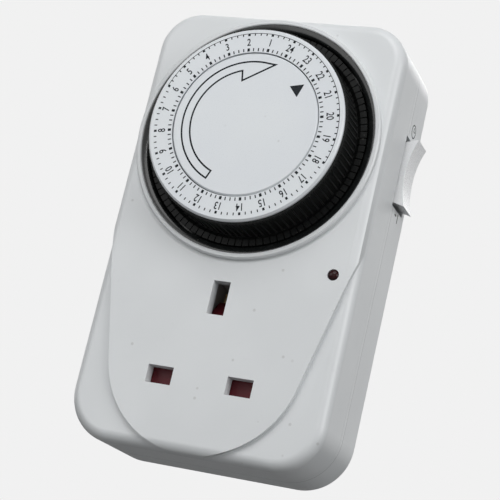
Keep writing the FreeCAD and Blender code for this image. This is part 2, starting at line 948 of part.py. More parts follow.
pitch_angle = 360.0 / tappet_count
carrier_low = ring_rear + rim_thickness
carrier_high = -19.5
carrier_bore = drum_radius + fit_gap
band_sides = 48


def slot_corners(angle):
    """The four corners of one slot, from one mouth corner round its floor to the other."""
    turn = math.radians(angle)
    out = (math.cos(turn), math.sin(turn))
    along = (-out[1], out[0])
    half = slot_width / 2
    steps = ((carrier_radius, -half), (slot_floor_radius, -half), (slot_floor_radius, half), (carrier_radius, half))
    return [(r * out[0] + s * along[0], r * out[1] + s * along[1]) for r, s in steps]


def around(radius, count, first=0.0):
    """Corners of a regular polygon whose sides lie outside the circle of that radius."""
    reach = radius / math.cos(math.pi / count)
    turns = [math.radians(first) + 2 * math.pi * i / count for i in range(count)]
    return [(reach * math.cos(t), reach * math.sin(t)) for t in turns]


def carrier_shape():
    """A comb of ribs with a band round its lower end that keeps the tappets in their slots."""
    comb, mouths = [], []
    for i in range(tappet_count):
        four = slot_corners(i * pitch_angle)
        comb.extend(four)
        mouths.extend((four[0], four[3]))
    rise = float(dial_rise)
    bore = prism(moved(around(carrier_bore, band_sides), 0, rise), carrier_high + 1, carrier_low - 1)
    ribs = prism(moved(comb, 0, rise), carrier_high, carrier_low)
    band_front = face + 5.6
    band = prism(
        moved(around(carrier_radius + band_width, band_sides), 0, rise),
        band_front + band_height,
        band_front,
    )
    band = band.cut(prism(moved(mouths, 0, rise), band_front + band_height + 1, band_front - 1))
    return ribs.cut(bore).fuse(band).removeSplitter()


node("tappet_carrier", feature("tappet_carrier", carrier_shape()))

stem_width = slot_width - 2 * fit_gap
stem_inner = slot_floor_radius + fit_gap
stem_outer = carrier_radius - fit_gap - 0.05
stem_front = -37.0


def sideways(corners, width):
    """A solid from corners given as radius and depth on the +X side, centred on the dial's level."""
    loop = [FreeCAD.Vector(r, y, -width / 2) for r, y in corners]
    return Part.Face(Part.makePolygon(loop + loop[:1])).extrude(FreeCAD.Vector(0, 0, width))


def tappet_shape():
    """One tappet on the +X side: a flat stem, and a finger lip that stands out of the drum."""
    front, rear = -head_depth, -head_depth + head_thickness
    lip_root = carrier_radius + 0.15
    stem = [
        (stem_inner, stem_front),
        (stem_outer, stem_front),
        (stem_outer, front + head_groove),
        (lip_root + 0.1, front + head_groove),
        (lip_root + 0.1, rear),
        (stem_outer, rear),
        (stem_outer, stem_front + tappet_length),
        (stem_inner, stem_front + tappet_length),
    ]
    lip_corners = [
        (lip_root, rear),
        (head_radius, rear),
        (head_radius, front),
        (head_lip_radius, front),
        (lip_root, front + head_groove),
    ]
    return sideways(stem, stem_width).fuse(sideways(lip_corners, head_width)).removeSplitter()


single = tappet_shape()
for hour in range(1, tappet_count // tappets_in_group + 1):
    four = []
    for step in range(tappets_in_group):
        angle = ((hour - 1) * tappets_in_group + step) * pitch_angle + pitch_angle / 2 + 70.5
        nearest = round(angle / pitch_angle) * pitch_angle
        copy = single.copy()
        copy.rotate(FreeCAD.Vector(0, 0, 0), FreeCAD.Vector(0, 1, 0), -nearest)
        copy.translate(FreeCAD.Vector(0, 0, dial_rise))
        four.append(copy)
    name = f"tappet_hour_{hour:02d}"
    node(name, feature(name, Part.makeCompound(four)))

# Movement plate, spindle, washer, gears and motor

spindle_shoulder = 5.0
washer_thickness = 0.8
washer_rear = hub_rear + free_gap + washer_thickness
node(
    "dial_spindle",
    turned(
        "dial_spindle",
        [
            (0.0, ring_rear - 0.05),
            (1.5, ring_rear - 0.05),
            (1.5, web_rear + 1.3),
            (spindle_radius, web_rear + 1.3),
            (spindle_radius, washer_rear),
            (spindle_shoulder, washer_rear),
            (spindle_shoulder, plate_front),
            (spindle_radius, plate_front),
            (spindle_radius, plate_rear),
            (0.0, plate_rear),
        ],
        dial_rise,
    ),
)
node(
    "hub_washer",
    turned(
        "hub_washer",
        [
            (spindle_radius + fit_gap, washer_rear - washer_thickness),
            (hub_radius - 0.5, washer_rear - washer_thickness + 0.3),
            (hub_radius - 0.5, washer_rear),
            (spindle_radius + fit_gap, washer_rear - 0.3),
        ],
        dial_rise,
    ),
)

mesh_distance = ring_pitch - ring_module * pinion_teeth / 2
arbor_x = mesh_distance * math.cos(math.radians(arbor_angle))
arbor_z = dial_rise + mesh_distance * math.sin(math.radians(arbor_angle))
wheel_distance = wheel_module * (wheel_teeth + pinion_teeth) / 2
motor_x = arbor_x + wheel_distance * math.cos(math.radians(motor_angle))
motor_z = arbor_z + wheel_distance * math.sin(math.radians(motor_angle))


def spur(teeth, module, x, z, first, rear, front, bore):
    """An outside toothed gear with a round bore."""
    pitch = module * teeth / 2
    outline = gear_outline(
        teeth, module, gear_backlash, pitch - root_drop * module, pitch + tooth_rise * module, first
    )
    blank = prism(moved(outline, x, z), rear, front)
    if bore == 0:
        return blank
    hole = Part.makeCylinder(bore, rear - front + 2, FreeCAD.Vector(x, front - 1, z), FreeCAD.Vector(0, 1, 0))
    return blank.cut(hole)


wheel_rear = plate_front - 0.4
wheel_front = wheel_rear - wheel_thickness
arbor_bore = arbor_radius + running_gap
wheel = spur(wheel_teeth, wheel_module, arbor_x, arbor_z, motor_angle, wheel_rear, wheel_front, arbor_bore)
small = spur(
    pinion_teeth, ring_module, arbor_x, arbor_z, arbor_angle, wheel_front + 0.01, gear_front + free_gap, arbor_bore
)
node("reduction_gear", feature("reduction_gear", wheel.fuse(small)))
node(
    "gear_arbor",
    fuse(
        "gear_arbor",
        rod("arbor_pin", arbor_radius, (arbor_x, gear_front - 0.6, arbor_z), plate_rear - gear_front + 0.6),
        rod("arbor_collar", arbor_radius + 0.8, (arbor_x, plate_front - 0.35, arbor_z), 0.35),
        rod("arbor_head", arbor_radius + 0.6, (arbor_x, gear_front - 0.6, arbor_z), 0.5),
    ),
)
half_tooth = 180.0 / pinion_teeth
drive = spur(
    pinion_teeth,
    wheel_module,
    motor_x,
    motor_z,
    motor_angle + 180 + half_tooth,
    wheel_rear,
    wheel_front,
    motor_shaft_radius,
)
motor_front = plate_rear
motor_rear = -floor_wall - free_gap
shaft_end = motor_front + 3.0
shaft = Part.makeCylinder(
    motor_shaft_radius, shaft_end - wheel_front, FreeCAD.Vector(motor_x, wheel_front, motor_z), FreeCAD.Vector(0, 1, 0)
)
node("motor_pinion", feature("motor_pinion", drive.fuse(shaft)))
motor_centre_x = motor_x + 6.0
motor_centre_z = motor_z + 5.5
can = rod("motor_can", motor_radius, (motor_centre_x, motor_front, motor_centre_z), motor_rear - motor_front)
lug = box(
    "motor_lugs",
    (motor_centre_x - 2.5, motor_front, motor_centre_z - motor_radius - 3.0),
    (motor_centre_x + 2.5, motor_front + 1.2, motor_centre_z + motor_radius + 3.0),
)
shaft_way = rod("motor_shaft_way", motor_shaft_radius + running_gap, (motor_x, motor_front - 1, motor_z), 1 + 3.0 + 0.3)
node("motor", cut("motor", fuse("motor_body", can, lug), shaft_way))

plate_low = dial_rise - plate_drop
plate_high = dial_rise + plate_lift
plate_half = half_width - wall - 2 * free_gap
chassis_blank = plate(
    "chassis_blank", rectangle(-plate_half, plate_half, plate_low, plate_high), plate_rear, plate_front
)
lever_tip_z = dial_rise + math.sqrt((slot_floor_radius + lever_overlap) ** 2 - switch_middle ** 2) + 1.5
switch_window = box(
    "switch_window",
    (switch_left - 3.0, plate_front - 1, switch_low - 11.5),
    (plate_half + 1, plate_rear + 1, lever_tip_z + 2 * free_gap),
)
chassis_holes = [
    switch_window,
    rod("spindle_way", spindle_radius, (0.0, plate_front - 1, dial_rise), 4.0),
    rod("arbor_way", arbor_radius, (arbor_x, plate_front - 1, arbor_z), 4.0),
    rod("pinion_way", 3.8, (motor_x, plate_front - 1, motor_z), 4.0),
]
node("chassis_plate", cut("chassis_plate", chassis_blank, *chassis_holes))

# Switch, its lever, and the override rocker with its slide

lever_x = switch_middle
lever_pivot_z = switch_low + 1.4
lever_front = plate_front - 1.8
lever_rear = plate_front - 0.4
switch_front = plate_rear - free_gap
plunger_z = lever_pivot_z + 10.0
switch_body = box("switch_body", (switch_left, switch_front, switch_low), (switch_right, -3.0, switch_low + 19.8))
plunger_way = rod("plunger_way", 1.05, (lever_x, switch_front - 1, plunger_z), 4.5)
ears = [
    box(
        f"lever_ear_{i}",
        (lever_x + s * 2.6 - 0.6, lever_front, lever_pivot_z - 1.4),
        (lever_x + s * 2.6 + 0.6, switch_front + 0.5, lever_pivot_z + 1.4),
    )
    for i, s in enumerate((-1, 1), 1)
]
pivot_y = lever_front + 0.7 + 0.1
pin_way = rod("lever_pin_way", 0.6, (lever_x - 5, pivot_y, lever_pivot_z), 10.0, "X")
node("micro_switch", cut("micro_switch", fuse("switch_with_ears", switch_body, *ears), plunger_way, pin_way))
node(
    "switch_plunger",
    rod("switch_plunger", 1.0, (lever_x, lever_rear + free_gap, plunger_z), switch_front + 1.8 - lever_rear),
)
node("lever_pin", rod("lever_pin", 0.6, (lever_x - 3.2, pivot_y, lever_pivot_z), 6.4, "X"))
lever_bar = box(
    "lever_bar",
    (lever_x - lever_half, lever_front, lever_pivot_z - 7.0),
    (lever_x + lever_half, lever_rear, lever_tip_z),
)
lever_bore = rod("lever_bore", 0.65, (lever_x - 5, pivot_y, lever_pivot_z), 10.0, "X")
node("trip_lever", cut("trip_lever", lever_bar, lever_bore))

slide_rear = -10.6
slide_front = -12.0
slide_left = lever_x - lever_half
slide_body = plate(
    "slide_body",
    [
        (slide_left, 16.0),
        (29.0, 16.0),
        (29.0, rocker_rise - 1.3),
        (26.2, rocker_rise - 1.3),
        (26.2, rocker_rise + 1.3),
        (29.0, rocker_rise + 1.3),
        (29.0, rocker_rise + 4.0),
        (24.6, rocker_rise + 4.0),
        (24.6, 20.0),
        (slide_left, 20.0),
    ],
    slide_rear,
    slide_front,
)
slide_wedge = box(
    "slide_wedge",
    (slide_left, slide_front - 1.6, 16.0),
    (lever_x + lever_half, slide_front + 0.1, 18.6),
)
node("override_slide", fuse("override_slide", slide_body, slide_wedge))


def rocker_shape():
    """A hollow faced cap on a hub, with a toe that drives the slide."""
    front = -(rocker_rear + rocker_depth)
    half = rocker_height / 2
    outer = half_width + rocker_reach
    hollow = outer - rocker_hollow
    low, high = rocker_rise - half, rocker_rise + half
    corner = FreeCAD.Vector

    def arc(a, b, c):
        return Part.Arc(a, b, c).toShape()

    def line(a, b):
        return Part.LineSegment(a, b).toShape()

    y = float(-rocker_rear)
    p_top = corner(outer, y, high)
    p_low = corner(outer - 0.3, y, low)
    p_in_low = corner(half_width - wall - 0.5, y, low + rocker_taper)
    p_in_top = corner(half_width - wall - 0.5, y, high - rocker_taper)
    edge = [
        arc(p_low, corner(hollow, y, rocker_rise), p_top),
        line(p_top, p_in_top),
        line(p_in_top, p_in_low),
        line(p_in_low, p_low),
    ]
    cap = Part.Face(Part.Wire(edge)).extrude(corner(0, front - y, 0))
    web = Part.makeBox(
        half_width - wall - pivot_x, y - front, 7.0, corner(pivot_x, front, rocker_rise - 3.5)
    )
    hub = Part.makeCylinder(2.4, y - front, corner(pivot_x, front, rocker_rise), corner(0, 1, 0))
    toe = Part.makeBox(4.6, 1.2, 2.0, corner(pivot_x - 4.6, slide_front + 0.1, rocker_rise - 1.0))
    bore = Part.makeCylinder(
        rocker_pin_radius + running_gap, 30.0, corner(pivot_x, -25.0, rocker_rise), corner(0, 1, 0)
    )
    return cap.fuse(web).fuse(hub).fuse(toe).cut(bore).removeSplitter()


node("rocker", feature("rocker", rocker_shape()))
node(
    "rocker_pin",
    rod("rocker_pin", rocker_pin_radius, (pivot_x, -rocker_rear - rocker_depth - 0.9, rocker_rise), rocker_depth + 2.9),
)

# Indicator

lens_flange = roof + 0.8
node(
    "indicator_lens",
    turned(
        "indicator_lens",
        [
            (0.0, face - 0.55),
            (0.7, face - 0.45),
            (1.2, face - 0.15),
            (lens_radius, face + 0.3),
            (lens_radius, roof),
            (lens_radius + 0.8, roof),
            (lens_radius + 0.8, lens_flange),
            (0.0, lens_flange),
        ],
        -lens_drop,
        lens_side,
    ),
)
lamp_length = 9.0
lamp_front = lens_flange
node(
    "neon_lamp",
    turned(
        "neon_lamp",
        [
            (0.0, lamp_front),
            (1.2, lamp_front + 0.3),
            (2.0, lamp_front + 1.5),
            (2.0, lamp_front + lamp_length),
            (0.0, lamp_front + lamp_length),
        ],
        -lens_drop,
        lens_side,
    ),
)
resistor_z = -lens_drop - 7.0
resistor_y = lamp_front + lamp_length + 2.4
lead_x = lens_side
leads = [
    rod("lamp_lead", 0.3, (lead_x, lamp_front + lamp_length, -lens_drop), resistor_y - lamp_front - lamp_length + 0.3),
    rod("resistor_lead", 0.3, (lead_x, resistor_y, resistor_z), -resistor_z - lens_drop, "Z"),
]
resistor_can = rod("resistor_can", 1.2, (lead_x, resistor_y, resistor_z - 4.0), 6.5, "Z")
node("lamp_resistor", fuse("lamp_resistor", resistor_can, *leads))

# Checks and export

doc.recompute()
for thing in doc.Objects:
    if "Invalid" in thing.State or "Error" in thing.State:
        raise RuntimeError(f"{thing.Name} did not build: {thing.State}")
facets = 0
os.makedirs("parts", exist_ok=True)
for name, thing in nodes.items():
    shape = thing.Shape
    if shape.isNull() or not shape.isValid():
        raise RuntimeError(f"{name} is not a valid shape")
    shape.exportStep(f"parts/{name}.step")
    vertices, triangles = shape.tessellate(0.1)
    facets += len(triangles)
    box_of = shape.BoundBox
    print(
        f"{name:20s} solids {len(shape.Solids):2d} volume {shape.Volume:9.1f} triangles {len(triangles):5d} "
        f"x {box_of.XMin:6.1f} {box_of.XMax:6.1f} y {box_of.YMin:6.1f} {box_of.YMax:6.1f} "
        f"z {box_of.ZMin:6.1f} {box_of.ZMax:6.1f}"
    )
print(f"{len(nodes)} nodes, {facets} triangles")
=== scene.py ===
# %% [markdown]
# # Plug in timer switch
# A mechanical timer sits between a wall outlet and a plug. A motor inside turns the dial once
# a day, and the black tappets round the dial, one for each quarter of an hour, work a switch.
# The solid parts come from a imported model, which fixes their sizes. This script adds what the eye
# sees: smooth mouldings, printed figures, fine ribs, gloss and dust. First it loads the frame.

# %% Load the frame
import math

import bmesh
import bpy
from mathutils import Matrix, Vector
from mathutils.bvhtree import BVHTree


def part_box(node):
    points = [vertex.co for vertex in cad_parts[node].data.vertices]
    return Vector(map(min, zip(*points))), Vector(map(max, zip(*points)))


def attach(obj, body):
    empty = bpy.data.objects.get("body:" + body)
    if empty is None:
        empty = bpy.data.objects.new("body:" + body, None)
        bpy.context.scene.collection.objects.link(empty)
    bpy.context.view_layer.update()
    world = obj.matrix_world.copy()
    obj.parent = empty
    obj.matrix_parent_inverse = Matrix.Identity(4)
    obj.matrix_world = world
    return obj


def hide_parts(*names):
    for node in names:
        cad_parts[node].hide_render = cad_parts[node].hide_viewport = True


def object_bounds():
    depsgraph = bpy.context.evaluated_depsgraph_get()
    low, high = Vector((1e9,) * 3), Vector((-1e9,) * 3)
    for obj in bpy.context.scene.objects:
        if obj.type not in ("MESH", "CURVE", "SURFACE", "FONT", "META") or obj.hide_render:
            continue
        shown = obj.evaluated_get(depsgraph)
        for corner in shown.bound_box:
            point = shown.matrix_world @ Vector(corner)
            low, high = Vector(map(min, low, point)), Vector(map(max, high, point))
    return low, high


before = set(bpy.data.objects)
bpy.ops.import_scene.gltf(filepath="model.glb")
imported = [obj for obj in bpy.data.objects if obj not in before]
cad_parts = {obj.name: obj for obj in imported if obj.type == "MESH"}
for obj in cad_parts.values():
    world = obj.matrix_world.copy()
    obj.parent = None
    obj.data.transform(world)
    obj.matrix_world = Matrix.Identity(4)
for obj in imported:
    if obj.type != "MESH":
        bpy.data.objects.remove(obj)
cad_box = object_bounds()
MM = 0.001
bpy.context.scene.view_settings.view_transform = "Standard"

# %% [markdown]
# ## Places that everything shares
# The part's own frame has +Z up, +Y into the wall and its origin between the plug pins. Each place
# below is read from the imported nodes, so a printed figure stays on its disc if the disc moves.
# The hours run counter-clockwise, as the dial turns clockwise past a fixed pointer.

# %% Shared places
ring_low, ring_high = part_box("number_ring")
DIAL_X = (ring_low.x + ring_high.x) / 2
DIAL_Z = (ring_low.z + ring_high.z) / 2
RING_FRONT = ring_low.y
DISC_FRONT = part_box("centre_disc")[0].y
SEAM_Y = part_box("front_shell")[1].y
FULL_TURN = 2 * math.pi
HOURS = 24
QUARTERS = 4
HOUR_STEP = FULL_TURN / HOURS
QUARTER_STEP = HOUR_STEP / QUARTERS
MIDNIGHT = math.radians(70.5)      # where the figure 24 stands, counter-clockwise from the right
DAWN = MIDNIGHT + 6 * HOUR_STEP
DUSK = MIDNIGHT - 6 * HOUR_STEP
WELD = 0.002 * MM                  # points closer than this are one point
print("dial centre, mm:", round(DIAL_X / MM, 2), round(DIAL_Z / MM, 2))


def on_dial(radius, angle):
    """The place (x, z) at a radius and an angle round the dial's axis."""
    return DIAL_X + radius * math.cos(angle), DIAL_Z + radius * math.sin(angle)


# %% [markdown]
# ## Short helpers for objects and meshes
# Nearly every piece is linked into the scene, closed from an edited mesh, or read back after its
# modifiers have run, so each of these gets a name.

# %% Object and mesh helpers
def linked(name, data):
    """A new object in the scene, at the origin."""
    made = bpy.data.objects.new(name, data)
    bpy.context.scene.collection.objects.link(made)
    return made


def closed_mesh(name, shell):
    """The plain mesh of an edited one, which is then freed."""
    mesh = bpy.data.meshes.new(name)
    shell.to_mesh(mesh)
    shell.free()
    return mesh


def modified_mesh(name, holder):
    """The mesh that an object has after its modifiers. The object itself is removed."""
    result = holder.evaluated_get(bpy.context.evaluated_depsgraph_get())
    mesh = bpy.data.meshes.new_from_object(result)
    mesh.name = name
    bpy.data.objects.remove(holder)
    return mesh


# %% [markdown]
# ## A short way to write finishes
# A finish is a net of nodes. Writing each node and each wire by hand hides what the finish is,
# so one small class adds a node, sets its inputs and joins wires that are passed to it as inputs.

# %% Finish helper
MIX_SHARE, MIX_FIRST, MIX_SECOND, MIX_RESULT = 0, 6, 7, 2      # a mix node's colour sockets


def feed(tree, socket, value):
    """Wires a socket that is given as the value, and sets any other value as a constant."""
    if isinstance(value, bpy.types.NodeSocket):
        tree.links.new(value, socket)
    else:
        socket.default_value = value


class Finish:
    """One material. add() makes a node and wires any socket given as an input's value."""

    def __init__(self, name, color, roughness, **shader_values):
        self.material = bpy.data.materials.new(name)
        self.material.use_nodes = True
        self.material.diffuse_color = (*color, 1)
        self.tree = self.material.node_tree
        self.shader = self.tree.nodes["Principled BSDF"]
        self.set(self.shader, {"Base Color": (*color, 1), "Roughness": roughness, **shader_values})
        self.place = self.add("ShaderNodeTexCoord").outputs["Object"]

    def set(self, node, values):
        """Feeds a node's inputs, given by name or by index."""
        for key, value in values.items():
            feed(self.tree, node.inputs[key], value)

    def add(self, kind, values=None, **settings):
        """A new node with its settings and its inputs."""
        node = self.tree.nodes.new(kind)
        for key, value in settings.items():
            setattr(node, key, value)
        self.set(node, values or {})
        return node

    def noise(self, size, detail=2.0, rough=0.5):
        """Cloudy noise whose lumps are about one size across."""
        values = {"Vector": self.place, "Scale": 1 / size, "Detail": detail, "Roughness": rough}
        return self.add("ShaderNodeTexNoise", values).outputs["Fac"]

    def specks(self, size, share, seed):
        """Small round specks, 1 inside and 0 outside, in a share of a grid's cells."""
        moved = self.add("ShaderNodeMapping", {"Vector": self.place, "Location": (seed,) * 3})
        cells = self.add("ShaderNodeTexVoronoi", {"Vector": moved.outputs[0], "Scale": 1 / size})
        near = self.ramp(cells.outputs["Distance"], 0.10, 0.20, 1, 0)
        split = self.add("ShaderNodeSeparateColor", {"Color": cells.outputs["Color"]})
        few = self.ramp(split.outputs[0], share, share + 0.01, 1, 0)
        return self.math("MULTIPLY", near, few)

    def ramp(self, value, low, high, to_low=0.0, to_high=1.0):
        """Carries the stretch from low to high over to another one, and stops at its ends."""
        limits = {"From Min": low, "From Max": high, "To Min": to_low, "To Max": to_high}
        return self.add("ShaderNodeMapRange", {"Value": value, **limits}).outputs[0]

    def math(self, operation, a, b=0.0):
        """One sum of two values."""
        return self.add("ShaderNodeMath", {0: a, 1: b}, operation=operation).outputs[0]

    def mix(self, share, first, second):
        """A colour between two, each given as a socket or as three numbers."""
        first, second = (end if isinstance(end, bpy.types.NodeSocket) else (*end, 1)
                         for end in (first, second))
        values = {MIX_SHARE: share, MIX_FIRST: first, MIX_SECOND: second}
        return self.add("ShaderNodeMix", values, data_type="RGBA").outputs[MIX_RESULT]

    def tint(self, shade, color, where, strength):
        """Mixes a colour into a shade where a mask is 1, at a share of its full strength."""
        return self.mix(self.math("MULTIPLY", where, strength), shade, color)

    def bump(self, height, depth, strength=1.0, below=None):
        """A raised surface, on top of the one below if that is given."""
        values = {"Height": height, "Distance": depth, "Strength": strength}
        if below:
            values["Normal"] = below
        return self.add("ShaderNodeBump", values).outputs[0]

    def drive(self, **sockets):
        """Wires results to the shader: color, roughness or normal."""
        names = {"color": "Base Color", "roughness": "Roughness", "normal": "Normal"}
        self.set(self.shader, {names[key]: value for key, value in sockets.items()})
        return self.material


# %% [markdown]
# ## White mouldings
# The case is white plastic out of a spark-eroded mould: nearly smooth, with a very fine grain that
# softens the highlights. Handling has left faint grey scuffs and a few specks of dust. The dial's
# two discs are the same plastic out of a polished mould, so their grain is shallower and their
# gloss higher, and the rocker is a whiter one. One function makes all three, because only the
# sizes and the shade differ. The two halves of the case meet in a seam, whose lips are slightly
# rounded and whose gap is marked by a thin line of painted shade.

# %% White finishes
CLOUD_SIZE = 22 * MM                        # slow drift of the shade
SCUFF_PATCH, SCUFF_MARK = 7 * MM, 0.9 * MM  # scuffed patches, and the marks within them
SCUFF_GREY = (0.30, 0.31, 0.32)
WHITE_DUST_CELL = 2.6 * MM
WHITE_DUST = (0.25, 0.24, 0.22)
# the colour of the painted shade along the seam's gap, where a shadow would fall
SEAM_PAINTED_SHADE = (0.08, 0.08, 0.08)
SEAM_GAP = (0.05 * MM, 0.15 * MM)           # off the seam's middle: full painted shade, then none
SEAM_LIP = (0.10 * MM, 0.42 * MM)           # where the lip starts to round, and where it is full
SEAM_LIP_DEPTH = 0.08 * MM


def white_moulding(name, color, dull, grain, grain_depth, roughness, dust, seam=None):
    """White plastic with a grain, faint scuffs and dust, and a painted shade line on any seam."""
    finish = Finish(name, color, roughness)
    drift = finish.noise(CLOUD_SIZE)
    shade = finish.mix(finish.ramp(drift, 0.35, 0.65), dull, color)
    scuff = finish.math("MULTIPLY", finish.ramp(finish.noise(SCUFF_PATCH, 5.0, 0.7), 0.60, 0.74),
                        finish.ramp(finish.noise(SCUFF_MARK, 3.0, 0.7), 0.48, 0.66))
    shade = finish.tint(shade, SCUFF_GREY, scuff, 0.10)
    dots = finish.specks(WHITE_DUST_CELL, dust, seed=0.13)
    shade = finish.tint(shade, WHITE_DUST, dots, 0.30)
    fine = finish.noise(grain, 3.0, 0.6)
    rough = finish.math("ADD", finish.ramp(fine, 0.3, 0.7, roughness - 0.05, roughness + 0.05),
                        finish.math("MULTIPLY", scuff, 0.12))
    normal = finish.bump(fine, grain_depth)
    if seam is not None:
        depth = finish.add("ShaderNodeSeparateXYZ", {"Vector": finish.place}).outputs["Y"]
        off_seam = finish.math("ABSOLUTE", finish.math("SUBTRACT", depth, seam))
        # painted shade: the seam's gap is darkened in place of its shadow
        gap = finish.ramp(off_seam, *SEAM_GAP, 1, 0)
        shade = finish.tint(shade, SEAM_PAINTED_SHADE, gap, 0.6)
        lip = finish.ramp(off_seam, *SEAM_LIP)
        normal = finish.bump(lip, SEAM_LIP_DEPTH, 0.7, normal)
    return finish.drive(color=shade, roughness=rough, normal=normal)


CASE_WHITE = white_moulding("case_white_grained", (0.70, 0.72, 0.73), dull=(0.67, 0.69, 0.70),
                            grain=0.22 * MM, grain_depth=0.003 * MM, roughness=0.34, dust=0.05,
                            seam=SEAM_Y)
DIAL_WHITE = white_moulding("dial_white_polished", (0.72, 0.75, 0.77), dull=(0.70, 0.73, 0.76),
                            grain=0.30 * MM, grain_depth=0.0015 * MM, roughness=0.30, dust=0.03)
ROCKER_WHITE = white_moulding("rocker_white_polished", (0.93, 0.94, 0.95), dull=(0.91, 0.92, 0.93),
                              grain=0.30 * MM, grain_depth=0.0006 * MM, roughness=0.28, dust=0.0)


# %% [markdown]
# ## Black mouldings
# Three blacks meet round the dial: the drum and its tappets are dull, the tappets a little
# smoother from fingers, and the funnel round them is polished like piano lacquer. Dust shows on
# black long before it shows on white, so these finishes get sparse pale specks.

# %% Black finishes
WORN_PATCH = 3 * MM
BLACK_DUST_CELLS = ((1.5 * MM, 0.31), (0.8 * MM, 0.57))     # each with its own seed
BLACK_DUST = (0.26, 0.25, 0.22)


def black_moulding(name, color, roughness, grain, grain_depth, dust, gloss):
    """Black plastic with a grain, worn patches and pale dust."""
    finish = Finish(name, color, roughness, **{"Specular IOR Level": gloss})
    worn = finish.ramp(finish.noise(WORN_PATCH, 4.0, 0.65), 0.5, 0.72)
    lighter = tuple(c * 2.0 + 0.006 for c in color)
    shade = finish.tint(color, lighter, worn, 0.5)
    dots = finish.math("MAXIMUM", *(finish.specks(cell, dust, seed)
                                    for cell, seed in BLACK_DUST_CELLS))
    shade = finish.tint(shade, BLACK_DUST, dots, 0.45)
    fine = finish.noise(grain, 3.0, 0.6)
    rough = finish.math("ADD", finish.ramp(fine, 0.3, 0.7, roughness - 0.04, roughness + 0.04),
                        finish.math("MULTIPLY", dots, 0.3))
    return finish.drive(color=shade, roughness=rough, normal=finish.bump(fine, grain_depth))


DRUM_BLACK = black_moulding("drum_black_dull", (0.008, 0.009, 0.0085), roughness=0.50,
                            grain=0.18 * MM, grain_depth=0.004 * MM, dust=0.05, gloss=0.14)
TAPPET_BLACK = black_moulding("tappet_black_handled", (0.0065, 0.007, 0.0068), roughness=0.42,
                              grain=0.2 * MM, grain_depth=0.004 * MM, dust=0.05, gloss=0.11)
BEZEL_BLACK = black_moulding("bezel_black_polished", (0.008, 0.009, 0.009), roughness=0.14,
                             grain=0.5 * MM, grain_depth=0.0005 * MM, dust=0.03, gloss=0.38)
INNER_BLACK = black_moulding("inner_black_plain", (0.018, 0.018, 0.019), roughness=0.5,
                             grain=0.25 * MM, grain_depth=0.006 * MM, dust=0.0, gloss=0.4)

# %% [markdown]
# ## Print, lens and shutter
# The figures are pad-printed in black ink, which lies on the plastic as a thin raised film of
# slightly uneven shade. The lens is a dark red plastic that lets hardly any light in while the
# small lamp behind it is off, and the shutter behind the apertures is a dark red moulding, dulled
# by plug pins rubbing past it.

# %% Print, lens and shutter finishes
INK_PATCH, LENS_SWIRL, RUBBED_PATCH = 0.35 * MM, 1.2 * MM, 1.6 * MM
PLASTIC_IOR = 1.49


def print_ink():
    """Black ink, a little patchy in its shade and gloss."""
    finish = Finish("print_ink_black", (0.010, 0.012, 0.015), 0.55, **{"Specular IOR Level": 0.12})
    patchy = finish.noise(INK_PATCH, 3.0)
    shade = finish.mix(finish.ramp(patchy, 0.40, 0.75), (0.009, 0.011, 0.014), (0.024, 0.028, 0.033))
    return finish.drive(color=shade, roughness=finish.ramp(patchy, 0.3, 0.7, 0.48, 0.62))


def grey_ink():
    """The thinner grey ink of the marks beside the rocker."""
    finish = Finish("print_ink_grey", (0.05, 0.055, 0.06), 0.5, **{"Specular IOR Level": 0.15})
    patchy = finish.ramp(finish.noise(0.4 * MM, 3.0), 0.35, 0.7)
    return finish.drive(color=finish.mix(patchy, (0.025, 0.028, 0.032), (0.06, 0.065, 0.07)))


def red_lens():
    """Dark red plastic with a faint swirl, almost opaque."""
    finish = Finish("lens_red_clear", (0.02, 0.001, 0.002), 0.07,
                    **{"Transmission Weight": 0.08, "IOR": PLASTIC_IOR, "Specular IOR Level": 0.14})
    swirl = finish.noise(LENS_SWIRL)
    shade = finish.mix(finish.ramp(swirl, 0.3, 0.7), (0.016, 0.001, 0.002), (0.030, 0.002, 0.003))
    return finish.drive(color=shade, normal=finish.bump(swirl, 0.004 * MM))


def red_shutter():
    """Dark red plastic, rubbed paler in patches."""
    finish = Finish("shutter_red_moulded", (0.085, 0.008, 0.013), 0.45, **{"Specular IOR Level": 0.2})
    fine = finish.noise(0.25 * MM, 3.0)
    rubbed = finish.ramp(finish.noise(RUBBED_PATCH, 4.0, 0.7), 0.50, 0.72)
    shade = finish.tint((0.085, 0.007, 0.012), (0.12, 0.018, 0.022), rubbed, 0.5)
    rough = finish.ramp(rubbed, 0, 1, 0.38, 0.58)
    return finish.drive(color=shade, roughness=rough, normal=finish.bump(fine, 0.004 * MM))


PRINT_INK = print_ink()
GREY_INK = grey_ink()
LENS_RED = red_lens()
SHUTTER_RED = red_shutter()

# %% [markdown]
# ## Metals and the plain mouldings inside
# The pins are drawn brass, so fine scratches run along them, made by noise that a mapping node
# squeezes on the other two axes. Screws, spindle and motor can are zinc plated, which looks
# clouded. The hidden gears are undyed nylon, and the socket carrier is a plain grey moulding.

# %% Metal and inner finishes
SCRATCH_ALONG, SCRATCH_ACROSS = 40, 400     # ten times finer across the piece than along it
SCRATCH_SCALE = 12.0
SCRATCH_DEPTH = 0.006 * MM
METAL_CLOUD, PLASTIC_CLOUD = 4 * MM, 5 * MM


